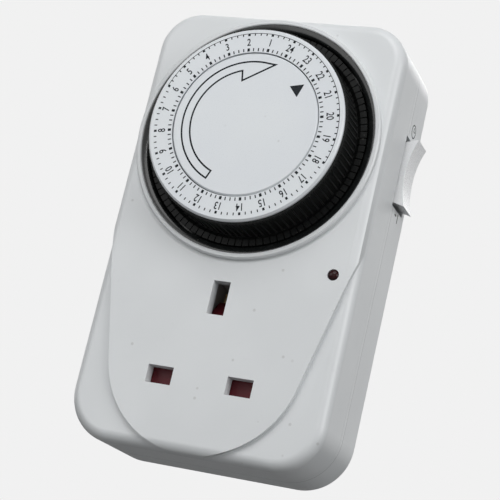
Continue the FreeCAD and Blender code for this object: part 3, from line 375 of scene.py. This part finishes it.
def drawn_metal(name, color, dark, along, roughness):
    """Metal with fine scratches along one axis and a clouded shade."""
    finish = Finish(name, color, roughness, Metallic=1.0)
    squeeze = tuple(SCRATCH_ALONG if axis == along else SCRATCH_ACROSS for axis in "XYZ")
    lines = finish.add("ShaderNodeMapping", {"Vector": finish.place, "Scale": squeeze})
    values = {"Vector": lines.outputs[0], "Scale": SCRATCH_SCALE, "Detail": 4.0}
    streak = finish.add("ShaderNodeTexNoise", values).outputs["Fac"]
    cloud = finish.ramp(finish.noise(METAL_CLOUD, 4.0), 0.35, 0.7)
    shade = finish.tint(color, dark, cloud, 0.6)
    rough = finish.ramp(streak, 0.3, 0.7, roughness - 0.07, roughness + 0.12)
    return finish.drive(color=shade, roughness=rough, normal=finish.bump(streak, SCRATCH_DEPTH))


def plain_moulding(name, color, dark, roughness, **shader_values):
    """An even plastic for what is hidden inside."""
    finish = Finish(name, color, roughness, **shader_values)
    cloud = finish.ramp(finish.noise(PLASTIC_CLOUD, 4.0), 0.35, 0.7)
    fine = finish.noise(0.3 * MM, 3.0)
    return finish.drive(color=finish.mix(cloud, color, dark),
                        roughness=finish.ramp(fine, 0.3, 0.7, roughness - 0.05, roughness + 0.05),
                        normal=finish.bump(fine, 0.006 * MM))


PIN_BRASS = drawn_metal("pin_brass_drawn", (0.78, 0.58, 0.27), (0.62, 0.43, 0.18), "Y", 0.25)
CONTACT_BRASS = drawn_metal("contact_brass_pressed", (0.74, 0.55, 0.27), (0.56, 0.40, 0.18),
                            "Z", 0.32)
ZINC_STEEL = drawn_metal("steel_zinc_plated", (0.56, 0.57, 0.58), (0.42, 0.43, 0.45), "Y", 0.33)
NYLON = plain_moulding("nylon_undyed", (0.74, 0.71, 0.62), (0.68, 0.65, 0.56), 0.5)
CARRIER_GREY = plain_moulding("carrier_grey_moulded", (0.50, 0.50, 0.48), (0.44, 0.44, 0.43), 0.55)
RESISTOR_TAN = plain_moulding("resistor_lacquer", (0.52, 0.38, 0.22), (0.45, 0.32, 0.18), 0.35)
LAMP_GLASS = plain_moulding("lamp_glass_clear", (0.85, 0.80, 0.76), (0.80, 0.74, 0.70), 0.12,
                            **{"Transmission Weight": 0.9})

FINISH_OF_NODE = {
    "front_shell": CASE_WHITE, "rear_shell": CASE_WHITE, "rocker": ROCKER_WHITE,
    "number_ring": DIAL_WHITE, "centre_disc": DIAL_WHITE, "dial_drum": DRUM_BLACK,
    "tappet_carrier": DRUM_BLACK, "bezel_ring": BEZEL_BLACK, "chassis_plate": INNER_BLACK,
    "micro_switch": INNER_BLACK, "override_slide": INNER_BLACK, "pin_sleeves": INNER_BLACK,
    "earth_pin": PIN_BRASS, "line_pin": PIN_BRASS, "neutral_pin": PIN_BRASS,
    "earth_contact": CONTACT_BRASS, "neutral_contact": CONTACT_BRASS, "line_contact": CONTACT_BRASS,
    "line_feed_strap": CONTACT_BRASS, "case_screws": ZINC_STEEL, "dial_spindle": ZINC_STEEL,
    "hub_washer": ZINC_STEEL, "gear_arbor": ZINC_STEEL, "lever_pin": ZINC_STEEL,
    "rocker_pin": ZINC_STEEL, "shutter_spring": ZINC_STEEL, "motor": ZINC_STEEL,
    "socket_carrier": CARRIER_GREY, "shutter": SHUTTER_RED, "reduction_gear": NYLON,
    "motor_pinion": NYLON, "trip_lever": NYLON, "switch_plunger": NYLON,
    "indicator_lens": LENS_RED, "neon_lamp": LAMP_GLASS, "lamp_resistor": RESISTOR_TAN,
}
for node_name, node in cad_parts.items():
    node.data.materials.clear()
    node.data.materials.append(FINISH_OF_NODE.get(node_name, TAPPET_BLACK))
print("finishes:", len(bpy.data.materials))

# %% [markdown]
# ## Smooth mouldings
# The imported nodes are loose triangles. For a piece that is seen close up, a copy gets its points
# merged, its flat faces joined into large ones and its sharp edges a small rounded bevel, as a
# mould gives them, and stands for the node. Large faces then count most when the shading is
# evened out, so that the flat ones stay flat up to their bevels.

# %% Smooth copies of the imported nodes
FLAT_WITHIN = math.radians(0.8)       # faces that turn less than this are one flat face
SHARP_FROM = math.radians(32)         # edges that turn more than this stay sharp
BEVEL_FROM = math.radians(40)
CASE_EDGE, SMALL_EDGE, PIN_EDGE = 0.22 * MM, 0.15 * MM, 0.25 * MM


def finished_piece(name, mesh, body, slot, material, *stands_for):
    """Links a finished mesh as one piece that rides on a body and takes its finish."""
    piece = linked(name, mesh)
    mesh.materials.clear()
    mesh.materials.append(material)
    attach(piece, body)
    if stands_for:
        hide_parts(*stands_for)
    print(name, "faces:", len(mesh.polygons))
    return piece


def merged_copy(node_name):
    """A copy of a node's mesh with its points merged, to be edited."""
    shell = bmesh.new()
    shell.from_mesh(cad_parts[node_name].data)
    bmesh.ops.remove_doubles(shell, verts=shell.verts, dist=WELD)
    bmesh.ops.dissolve_degenerate(shell, edges=shell.edges, dist=WELD)
    return shell


def smooth_moulding(node_name, name, body, slot, edge_round):
    """A copy of a node with bevelled sharp edges and smooth round stretches."""
    shell = merged_copy(node_name)
    bmesh.ops.dissolve_limit(shell, angle_limit=FLAT_WITHIN, verts=shell.verts,
                             edges=shell.edges, delimit={"NORMAL"})
    mesh = closed_mesh(name, shell)
    piece = finished_piece(name, mesh, body, slot, FINISH_OF_NODE[node_name], node_name)
    if edge_round:
        bevel = piece.modifiers.new("mould_edges", "BEVEL")
        bevel.width = edge_round
        bevel.segments = 2
        bevel.limit_method = "ANGLE"
        bevel.angle_limit = BEVEL_FROM
        bevel.use_clamp_overlap = True
    mesh.shade_smooth()
    mesh.set_sharp_from_angle(angle=SHARP_FROM)
    even = piece.modifiers.new("flat_faces_stay_flat", "WEIGHTED_NORMAL")
    even.mode = "FACE_AREA_WITH_ANGLE"
    even.weight = 100
    even.keep_sharp = True


SMOOTH_PIECES = (
    ("front_shell", "front_shell_moulding", "housing", "white_shell", CASE_EDGE),
    ("rear_shell", "rear_shell_moulding", "housing", "white_shell", CASE_EDGE),
    ("rocker", "rocker_moulding", "rocker", "white_shell", SMALL_EDGE),
    ("number_ring", "number_ring_moulding", "dial", "white_dial", 0),
    ("centre_disc", "centre_disc_moulding", "housing", "white_dial", 0),
    ("dial_drum", "dial_drum_moulding", "dial", "black_moulding", 0),
    ("tappet_carrier", "tappet_carrier_moulding", "dial", "black_moulding", 0),
    ("indicator_lens", "indicator_lens_dome", "housing", "red_lens", 0),
    ("earth_pin", "earth_pin_drawn", "housing", "brass", PIN_EDGE),
    ("line_pin", "line_pin_drawn", "housing", "brass", PIN_EDGE),
    ("neutral_pin", "neutral_pin_drawn", "housing", "brass", PIN_EDGE),
    ("pin_sleeves", "pin_sleeves_moulded", "housing", "black_moulding", SMALL_EDGE),
)
for row in SMOOTH_PIECES:
    smooth_moulding(*row)


# %% [markdown]
# ## The polished funnel
# The black ring round the dial has a nearly flat mouth that rolls over into a steep wall. The mouth
# mirrors the studio as two grey crescents beside the dial, so its slope matters more than its
# depth. It is spun from a profile of (radius, depth) pairs, in millimetres from the dial's axis
# and from the ring's own front edge.

# %% Spun funnel
FUNNEL_MOUTH = [(32.15, 0.0), (31.7, 0.09), (31.2, 0.20), (30.8, 0.36), (30.55, 0.62), (30.45, 1.2)]
FUNNEL_WALL = [(30.4, 6.7), (28.35, 6.7), (28.35, 7.7)]
FUNNEL_BACK = [(31.7, 7.7), (31.7, 5.8), (32.95, 5.8), (32.95, 4.6), (32.4, 4.6), (32.4, 0.0)]
FUNNEL_STEPS = 192
FUNNEL_SHARP_FROM = math.radians(35)

funnel_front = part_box("bezel_ring")[0].y
funnel = bmesh.new()
section = [funnel.verts.new((DIAL_X + radius * MM, funnel_front + depth * MM, DIAL_Z))
           for radius, depth in FUNNEL_MOUTH + FUNNEL_WALL + FUNNEL_BACK]
lines = [funnel.edges.new((section[i - 1], section[i])) for i in range(len(section))]
bmesh.ops.spin(funnel, geom=section + lines, cent=(DIAL_X, 0, DIAL_Z), axis=(0, 1, 0),
               angle=FULL_TURN, steps=FUNNEL_STEPS, use_merge=True)
bmesh.ops.remove_doubles(funnel, verts=funnel.verts, dist=WELD)
bmesh.ops.recalc_face_normals(funnel, faces=funnel.faces)
funnel_mesh = closed_mesh("bezel_ring_spun", funnel)
finished_piece("bezel_ring_spun", funnel_mesh, "housing", "gloss_black", BEZEL_BLACK, "bezel_ring")
funnel_mesh.shade_smooth()
funnel_mesh.set_sharp_from_angle(angle=FUNNEL_SHARP_FROM)

# %% [markdown]
# ## Screws with a cross recess
# Four screws hold the case together from behind. Each head gets a cross recess for a driver, cut
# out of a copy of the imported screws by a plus-shaped prism.

# %% Screw recesses
SCREW_PLACES = ((-26.2, -43.6), (26.2, -43.6), (-27.0, 60.5), (27.0, 60.5))
CROSS_REACH, CROSS_HALF, CROSS_DEPTH = 1.5 * MM, 0.3 * MM, 1.0 * MM
CUT_CLEAR = 0.5 * MM                  # how far the prism stands out of the head
far, near = CROSS_REACH, CROSS_HALF
CROSS = ((near, near), (far, near), (far, -near), (near, -near), (near, -far), (-near, -far),
         (-near, -near), (-far, -near), (-far, near), (-near, near), (-near, far), (near, far))
head_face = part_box("case_screws")[1].y
plus = bmesh.new()
for x, z in SCREW_PLACES:
    base = plus.faces.new([plus.verts.new((x * MM + a, head_face - CROSS_DEPTH, z * MM + b))
                           for a, b in CROSS])
    grown = bmesh.ops.extrude_face_region(plus, geom=[base])
    risen = [v for v in grown["geom"] if isinstance(v, bmesh.types.BMVert)]
    bmesh.ops.translate(plus, verts=risen, vec=(0, CROSS_DEPTH + CUT_CLEAR, 0))
bmesh.ops.recalc_face_normals(plus, faces=plus.faces)
cutter = linked("cross_cutter", closed_mesh("cross_cutter", plus))
uncut = linked("uncut_screws", closed_mesh("uncut_screws", merged_copy("case_screws")))
cut = uncut.modifiers.new("cross", "BOOLEAN")
cut.operation = "DIFFERENCE"
cut.solver = "EXACT"
cut.object = cutter
screw_mesh = modified_mesh("case_screws_cross", uncut)
bpy.data.objects.remove(cutter)
finished_piece("case_screws_cross", screw_mesh, "housing", "plated_steel", ZINC_STEEL, "case_screws")

# %% [markdown]
# ## Bars round the dial
# Two things repeat at the quarter hours: printed ticks and the fine ribs on the drum's wall. Both
# are bars set round the dial's axis, so one Geometry Nodes tree makes them. It lays out points by
# index, stands a bar on each, makes the bar on the hour wider, and ends as a plain mesh.

# %% Tree for bars round the dial
BAR_SETTINGS = {"Count": "Int", "Material": "Material", **dict.fromkeys(
    ("Start angle", "Step angle", "Centre X", "Centre Z", "Radius", "Front", "Length", "Depth",
     "Width", "Hour width"), "Float")}


def bar_ring_tree():
    """The tree, and the identifiers of its inputs by their names."""
    tree = bpy.data.node_groups.new("bars_round_the_dial", "GeometryNodeTree")
    tree.interface.new_socket(name="Geometry", in_out="OUTPUT", socket_type="NodeSocketGeometry")
    inputs = {name: tree.interface.new_socket(name=name, in_out="INPUT",
                                              socket_type="NodeSocket" + kind).identifier
              for name, kind in BAR_SETTINGS.items()}
    given = tree.nodes.new("NodeGroupInput").outputs
    made = tree.nodes.new("NodeGroupOutput")

    def step(kind, *wires, **settings):
        """Adds a node, feeds its inputs and returns its first output."""
        node = tree.nodes.new(kind)
        for key, value in settings.items():
            setattr(node, key, value)
        for socket, value in wires:
            feed(tree, node.inputs[socket], value)
        return node.outputs[0]

    def calc(operation, a, b):
        return step("ShaderNodeMath", (0, a), (1, b), operation=operation)

    def vector(x, y, z):
        return step("ShaderNodeCombineXYZ", (0, x), (1, y), (2, z))

    index = step("GeometryNodeInputIndex")
    angle = calc("ADD", given["Start angle"], calc("MULTIPLY", index, given["Step angle"]))
    across, up = (calc("ADD", given[centre], calc("MULTIPLY", given["Radius"], calc(wave, angle, 0.0)))
                  for centre, wave in (("Centre X", "COSINE"), ("Centre Z", "SINE")))
    line = step("GeometryNodeMeshLine", ("Count", given["Count"]))
    points = step("GeometryNodeMeshToPoints", ("Mesh", line))
    laid = step("GeometryNodeSetPosition", ("Geometry", points),
                ("Position", vector(across, given["Front"], up)))
    on_hour = calc("LESS_THAN", calc("MODULO", index, float(QUARTERS)), 0.5)
    extra = calc("SUBTRACT", given["Hour width"], given["Width"])
    wide = calc("ADD", given["Width"], calc("MULTIPLY", on_hour, extra))
    stood = step("GeometryNodeInstanceOnPoints", ("Points", laid),
                 ("Instance", step("GeometryNodeMeshCube")),
                 ("Rotation", vector(0.0, calc("MULTIPLY", angle, -1.0), 0.0)),
                 ("Scale", vector(given["Length"], given["Depth"], wide)))
    real = step("GeometryNodeRealizeInstances", ("Geometry", stood))
    dressed = step("GeometryNodeSetMaterial", ("Geometry", real), ("Material", given["Material"]))
    tree.links.new(dressed, made.inputs[0])
    return tree, inputs


BAR_TREE, BAR_INPUTS = bar_ring_tree()


def bars(name, body, slot, material, **values):
    """Runs the tree on an empty carrier and keeps its result as one plain piece."""
    carrier = linked(name + "_carrier", bpy.data.meshes.new(name + "_carrier"))
    modifier = carrier.modifiers.new("grown", "NODES")
    modifier.node_group = BAR_TREE
    settings = {"Centre X": DIAL_X, "Centre Z": DIAL_Z, "Step angle": QUARTER_STEP,
                "Material": material}
    settings.update({key.replace("_", " "): value for key, value in values.items()})
    for key, value in settings.items():
        modifier[BAR_INPUTS[key]] = value
    carrier.update_tag()
    finished_piece(name, modified_mesh(name, carrier), body, slot, material)


# %% [markdown]
# ## The printed dial
# The hours stand round the ring with their tops outwards, and each quarter hour has a tick on
# both sides of them. From 18 through 24 to 6, the night half, a thin line joins the outer ticks.
# Ink is modelled as a film a few hundredths of a millimetre thick, half of it sunk into the
# plastic so that no light passes under it.

# %% Ticks on the number ring
INK_PROUD = 0.02 * MM
INK_SUNK = 0.02 * MM
INK_THICK = INK_PROUD + INK_SUNK
INK_MIDDLE = RING_FRONT - INK_PROUD + INK_THICK / 2
OVER_OTHER_INK = 1.1                  # a bar over another one is this much thicker
HALF_DAY = HOURS * QUARTERS // 2
INNER_RADIUS, DAY_RADIUS, NIGHT_RADIUS = 20.85 * MM, 24.85 * MM, 25.16 * MM
INNER_LENGTH, DAY_LENGTH, NIGHT_LENGTH = 0.9 * MM, 0.75 * MM, 0.62 * MM
DAY_TICK, DAY_HOUR = 0.28 * MM, 0.62 * MM
PRINTED = dict(Depth=INK_THICK, Front=INK_MIDDLE)
TICK = dict(Width=0.30 * MM, Hour_width=0.68 * MM, **PRINTED)
bars("inner_ticks", "dial", "white_dial", PRINT_INK, Count=HOURS * QUARTERS, Start_angle=MIDNIGHT,
     Radius=INNER_RADIUS, Length=INNER_LENGTH, **TICK)
bars("day_ticks", "dial", "white_dial", PRINT_INK, Count=HALF_DAY - 1,
     Start_angle=DAWN + QUARTER_STEP, Radius=DAY_RADIUS, Length=DAY_LENGTH,
     Width=DAY_TICK, Hour_width=DAY_TICK, **PRINTED)
bars("day_hours", "dial", "white_dial", PRINT_INK, Count=HOURS // 2 - 1,
     Start_angle=DAWN + HOUR_STEP, Step_angle=HOUR_STEP, Radius=DAY_RADIUS, Length=DAY_LENGTH,
     Width=DAY_HOUR, Hour_width=DAY_HOUR, Depth=INK_THICK * OVER_OTHER_INK, Front=INK_MIDDLE)
bars("night_ticks", "dial", "white_dial", PRINT_INK, Count=HALF_DAY + 1, Start_angle=DUSK,
     Radius=NIGHT_RADIUS, Length=NIGHT_LENGTH, **TICK)


# %% [markdown]
# ## Lines and shapes in ink
# A printed shape is a flat outline that is given the film's thickness. What differs from place to
# place is how a flat point lands on the plastic, so each face has its own small function for that.
# Text starts as a text object and is turned into a mesh while it is still flat.

# %% Ribbons and letters of ink
INK_WELD = 0.001 * MM
WIDEST_CORNER = 1.6                   # a mitred corner reaches out this many line widths at most
TYPE_SIZE = 1 / 0.72                  # the type's size over the height of its figures
INK_SPREAD = 0.040 * MM               # how far the ink has run past each edge of a figure


def on_face(front):
    """Lands flat points (x, z) on a face of the dial."""
    return lambda point, lift: (point[0], front - lift, point[1])


def film(name, outlines, land, body, slot, material):
    """Closed outlines become a thin film. land() puts a flat point at a height over a face."""
    made = bmesh.new()
    for outline in outlines:
        over = [made.verts.new(land(point, INK_PROUD)) for point in outline]
        under = [made.verts.new(land(point, -INK_SUNK)) for point in outline]
        made.faces.new(over)
        made.faces.new(under[::-1])
        for i in range(len(outline)):
            made.faces.new((over[i], over[i - 1], under[i - 1], under[i]))
    bmesh.ops.remove_doubles(made, verts=made.verts, dist=INK_WELD)
    bmesh.ops.recalc_face_normals(made, faces=made.faces)
    finished_piece(name, closed_mesh(name, made), body, slot, material)


def arc_points(radius, start, end, steps):
    """Points (x, z) along an arc round the dial's axis."""
    return [on_dial(radius, start + (end - start) * i / steps) for i in range(steps + 1)]


def line_ribbon(path, width):
    """The four-sided pieces of a line along a closed path of flat points, mitred at its corners."""
    count = len(path)
    left, right = [], []
    for i in range(count):
        before, here, after = Vector(path[i - 1]), Vector(path[i]), Vector(path[(i + 1) % count])
        a, b = (here - before).normalized(), (after - here).normalized()
        square = Vector((-a.y, a.x))
        across = (square + Vector((-b.y, b.x))).normalized()
        reach = min(width / 2 / max(0.3, across.dot(square)), width * WIDEST_CORNER)
        left.append(here + across * reach)
        right.append(here - across * reach)
    return [(left[i], left[(i + 1) % count], right[(i + 1) % count], right[i])
            for i in range(count)]


def letter_mesh(text, height, narrow):
    """A word as a flat, centred mesh in the XZ plane, a film thick."""
    curve = bpy.data.curves.new("letters", "FONT")
    curve.body = text
    curve.size = height * TYPE_SIZE
    curve.align_x = "CENTER"
    curve.align_y = "CENTER"
    curve.extrude = INK_THICK / 2
    curve.resolution_u = 3
    curve.offset = INK_SPREAD
    mesh = modified_mesh("letters", linked("letters", curve))
    mesh.transform(Matrix.Diagonal((narrow, 1, 1, 1)))
    mesh.transform(Matrix.Rotation(math.pi / 2, 4, "X"))
    return mesh


# %% [markdown]
# ## Figures, arrow and pointer
# Each figure is carried to its place on the ring and turned so that its top points outwards. The
# open arrow and the pointer are on the disc in the middle, which stays still while the ring turns.

# %% Figures and arrows
FIGURE_RADIUS = 22.95 * MM
FIGURE_HEIGHT = 2.05 * MM
FIGURE_NARROW = 0.76
FIGURE_WELD = 0.0005 * MM
figures = bmesh.new()
for hour in range(1, HOURS + 1):
    angle = MIDNIGHT + hour * HOUR_STEP
    x, z = on_dial(FIGURE_RADIUS, angle)
    word = letter_mesh(str(hour), FIGURE_HEIGHT, FIGURE_NARROW)
    turned = Matrix.Rotation(math.pi / 2 - angle, 4, "Y")
    word.transform(Matrix.Translation((x, INK_MIDDLE, z)) @ turned)
    figures.from_mesh(word)
    bpy.data.meshes.remove(word)
bmesh.ops.remove_doubles(figures, verts=figures.verts, dist=FIGURE_WELD)
finished_piece("hour_figures", closed_mesh("hour_figures", figures), "dial", "white_dial", PRINT_INK)

NIGHT_LINE, NIGHT_LINE_RADIUS, NIGHT_STEPS = 0.16 * MM, 25.52 * MM, 120
night_line = (arc_points(NIGHT_LINE_RADIUS - NIGHT_LINE / 2, DUSK, DAWN, NIGHT_STEPS)
              + arc_points(NIGHT_LINE_RADIUS + NIGHT_LINE / 2, DAWN, DUSK, NIGHT_STEPS))
film("night_line", [night_line], on_face(RING_FRONT), "dial", "white_dial", PRINT_INK)

ARROW_LINE = 0.46 * MM
ARROW_OUTER, ARROW_INNER, ARROW_TIP, ARROW_BARB = 17.4 * MM, 15.1 * MM, 17.6 * MM, 12.3 * MM
tail, tip, shoulder, barb, notch = (math.radians(a) for a in (246.3, 74.5, 80.5, 106.7, 105.6))
arrow = arc_points(ARROW_OUTER, tail, shoulder, 70)
arrow += [on_dial(ARROW_TIP, tip), on_dial(ARROW_BARB, barb)]
arrow += arc_points(ARROW_INNER, notch, tail, 60)
band = bmesh.new()
for quad in line_ribbon(arrow, ARROW_LINE):
    band.faces.new([band.verts.new(on_face(DISC_FRONT)(point, INK_PROUD)) for point in quad])
bmesh.ops.remove_doubles(band, verts=band.verts, dist=INK_WELD)
grown = bmesh.ops.extrude_face_region(band, geom=band.faces[:])
moved = [v for v in grown["geom"] if isinstance(v, bmesh.types.BMVert)]
bmesh.ops.translate(band, verts=moved, vec=(0, INK_THICK, 0))
bmesh.ops.recalc_face_normals(band, faces=band.faces)
finished_piece("turning_arrow", closed_mesh("turning_arrow", band), "housing", "white_dial", PRINT_INK)

POINTER = math.radians(41.5)
POINTER_TIP, POINTER_BASE, POINTER_HALF = 18.4 * MM, 15.0 * MM, 1.9 * MM
outwards = Vector((math.cos(POINTER), math.sin(POINTER)))
sideways = Vector((-outwards.y, outwards.x)) * POINTER_HALF
dial_middle = Vector((DIAL_X, DIAL_Z))
foot = dial_middle + outwards * POINTER_BASE
pointer = [dial_middle + outwards * POINTER_TIP, foot + sideways, foot - sideways]
film("time_pointer", [pointer], on_face(DISC_FRONT), "housing", "white_dial", PRINT_INK)

# %% [markdown]
# ## Symbols beside the rocker
# Grey marks on the right wall say what the rocker does: a clock above it for the timer, a bar and
# a dash below it for always on. The wall is curved, so each point of a mark is thrown against the
# case along X, and the film is built where it lands.

# %% Grey marks on the side wall
case_wall = merged_copy("rear_shell")
wall_tree = BVHTree.FromBMesh(case_wall)
case_wall.free()
OUTSIDE = 80 * MM                     # X of a place well clear of the right wall
INWARDS = Vector((-1, 0, 0))


def on_wall(point, lift):
    """Lands a flat point (y, z) on the right wall."""
    y, z = point
    return wall_tree.ray_cast(Vector((OUTSIDE, y, z)), INWARDS)[0].x + lift, y, z


def wall_film(name, outlines):
    """Closed outlines become a film of grey ink on the right wall."""
    film(name, outlines, on_wall, "housing", "white_shell", GREY_INK)


def stroke(start, end, width):
    """A straight stroke between two points (y, z) in millimetres, with square ends."""
    a, b = Vector(start) * MM, Vector(end) * MM
    across = Vector((a.y - b.y, b.x - a.x)).normalized() * width / 2
    return [a + across, b + across, b - across, a - across]


MARK_LINE, BOLD_LINE = 0.36 * MM, 0.468 * MM
CLOCK_Y, CLOCK_Z, CLOCK_RADIUS, RIM_STEPS = -8.4, 47.3, 1.75, 32
rim = [((CLOCK_Y + CLOCK_RADIUS * math.cos(a)) * MM, (CLOCK_Z + CLOCK_RADIUS * math.sin(a)) * MM)
       for a in (FULL_TURN * i / RIM_STEPS for i in range(RIM_STEPS))]
wall_film("clock_mark", line_ribbon(rim, MARK_LINE))
wall_film("clock_hands", [stroke((CLOCK_Y, CLOCK_Z - 0.1), (CLOCK_Y, CLOCK_Z + 1.1), MARK_LINE),
                          stroke((CLOCK_Y + 0.16, CLOCK_Z), (CLOCK_Y + 1.0, CLOCK_Z), MARK_LINE)])
wall_film("always_on_mark", [stroke((-6.6, 21.6), (-6.6, 24.2), BOLD_LINE),
                             stroke((-9.6, 23.2), (-8.0, 23.2), BOLD_LINE)])

# %% [markdown]
# ## The ribbed drum wall
# Below the white ring the drum's wall is fluted, so that a finger can turn the dial. The flutes
# are the same bars round the dial, this time standing along the axis, two for each tappet.

# %% Flutes on the drum
drum_low, drum_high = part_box("dial_drum")
FLUTE_LENGTH, FLUTE_WIDTH, FLUTE_HEIGHT = 1.0 * MM, 0.38 * MM, 0.5 * MM
FLUTE_SUNK = 0.12 * MM                # a flute's middle lies this far inside the drum's outline
FLUTE_SETBACK = 0.1 * MM              # and its front end this far behind the drum's own
bars("drum_flutes", "dial", "black_moulding", DRUM_BLACK, Count=HOURS * QUARTERS * 2,
     Start_angle=MIDNIGHT, Step_angle=QUARTER_STEP / 2, Radius=drum_high.x - DIAL_X - FLUTE_SUNK,
     Length=FLUTE_HEIGHT, Width=FLUTE_WIDTH, Hour_width=FLUTE_WIDTH, Depth=FLUTE_LENGTH,
     Front=drum_low.y + FLUTE_LENGTH / 2 + FLUTE_SETBACK)

# %% [markdown]
# ## Stage, lights and camera
# A pale studio, with its floor well below a part that a wall outlet would hold. Rays of sight see
# the floor and the air pale, while all other rays find them dark. So the pale surroundings don't
# light the part, and its underside stays dark, as in a studio with the lights overhead.

# %% Floor and world
BACKDROP = (0.88, 0.88, 0.88)
DIM_AIR = (0.10, 0.105, 0.11)
FLOOR_PALE, FLOOR_DIM = (0.80, 0.80, 0.80), (0.10, 0.10, 0.10)
FLOOR_LEVEL = -0.35
FLOOR_REACH = 6.0


def sight_rays(tree):
    """1 for rays of sight: from the camera, off a glossy face or through glass."""
    rays = tree.nodes.new("ShaderNodeLightPath").outputs
    seen = rays["Is Camera Ray"]
    for kind in ("Is Glossy Ray", "Is Transmission Ray"):
        either = tree.nodes.new("ShaderNodeMath")
        either.operation = "MAXIMUM"
        feed(tree, either.inputs[0], seen)
        feed(tree, either.inputs[1], rays[kind])
        seen = either.outputs[0]
    return seen


floor_mesh = bpy.data.meshes.new("studio_floor")
corners = [(-1, -1), (1, -1), (1, 1), (-1, 1)]
floor_mesh.from_pydata([(x * FLOOR_REACH, y * FLOOR_REACH, FLOOR_LEVEL) for x, y in corners],
                       [], [(0, 1, 2, 3)])
floor = linked("studio_floor", floor_mesh)
floor_finish = Finish("floor_pale", FLOOR_PALE, 0.9)
floor_shade = floor_finish.mix(sight_rays(floor_finish.tree), FLOOR_DIM, FLOOR_PALE)
floor_mesh.materials.append(floor_finish.drive(color=floor_shade))

world = bpy.data.worlds.new("studio_air")
bpy.context.scene.world = world
world.use_nodes = True
air = world.node_tree
backdrop = air.nodes["Background"]
backdrop.inputs["Color"].default_value = (*BACKDROP, 1)
dim = air.nodes.new("ShaderNodeBackground")
dim.inputs["Color"].default_value = (*DIM_AIR, 1)
chosen = air.nodes.new("ShaderNodeMixShader")
for index, value in enumerate((sight_rays(air), dim.outputs[0], backdrop.outputs[0])):
    feed(air, chosen.inputs[index], value)
feed(air, air.nodes["World Output"].inputs["Surface"], chosen.outputs[0])

# %% [markdown]
# ## Lamps
# The key lamp hangs close above the front, so its light falls off towards the bottom of the case.
# Large soft lamps to the left and right keep the sides readable, a faint one lifts the shadows
# from below, and one behind lights the pins. The smallest gives the glossy edges their glint.

# %% Lamps
LAMPS = (                             # name, place in metres, side of the square, watts
    ("key_overhead", (0.05, -0.55, 0.52), 0.50, 2.5),
    ("fill_left", (-0.75, -0.95, 0.25), 0.8, 3.6),
    ("fill_right", (0.95, -0.45, 0.25), 0.6, 5.0),
    ("fill_low", (0.10, -0.95, -0.15), 0.6, 0.8),
    ("glint", (0.22, -0.90, 0.45), 0.05, 0.22),
    ("back_soft", (-0.20, 0.95, 0.45), 0.8, 3.0),
)
middle = (cad_box[0] + cad_box[1]) / 2
for name, place, side, watts in LAMPS:
    light = bpy.data.lights.new(name, "AREA")
    light.shape = "SQUARE"
    light.size = side
    light.energy = watts
    holder = linked(name, light)
    holder.location = place
    holder.rotation_euler = (middle - Vector(place)).to_track_quat("-Z", "Y").to_euler()

# %% [markdown]
# ## Camera
# The view was worked out from the three apertures and the dial, whose real sizes are known: a
# longish lens 0.42 m away, looking slightly upwards and turned about its own axis. The matrix is
# built from those angles, so each of them can be read and changed.

# %% Camera
AROUND = math.radians(22.598)
LIFT = math.radians(-14.493)
ROLL = math.radians(13.361)
DISTANCE = 419.345 * MM
AIM = Vector((5.833, -29.0, 2.364)) * MM
SENSOR = 36.0
IMAGE_SIDE = 500
FOCAL_PIXELS = 1625.35
SHIFT_PIXELS = (-1.0, 2.0)

back = Vector((math.sin(AROUND) * math.cos(LIFT), -math.cos(AROUND) * math.cos(LIFT), math.sin(LIFT)))
level = Vector((math.cos(AROUND), math.sin(AROUND), 0))
upright = level.cross(-back)
right = math.cos(ROLL) * level + math.sin(ROLL) * upright
up = -math.sin(ROLL) * level + math.cos(ROLL) * upright
camera_data = bpy.data.cameras.new("photo_camera")
camera_data.sensor_width = SENSOR
camera_data.lens = FOCAL_PIXELS / IMAGE_SIDE * SENSOR
camera_data.shift_x, camera_data.shift_y = (shift / IMAGE_SIDE for shift in SHIFT_PIXELS)
camera_data.clip_start = 10 * MM
camera = linked("photo_camera", camera_data)
axes = Matrix((right, up, back)).transposed().to_4x4()
camera.matrix_world = Matrix.Translation(AIM + back * DISTANCE) @ axes
bpy.context.scene.camera = camera
print("camera, mm:", [round(v / MM, 1) for v in camera.location])

# %% [markdown]
# ## Sizes
# The box of the imported model is printed in millimetres.

# %% Sizes and finish
print("packed box, mm:", [[round(v / MM, 2) for v in c] for c in cad_box])
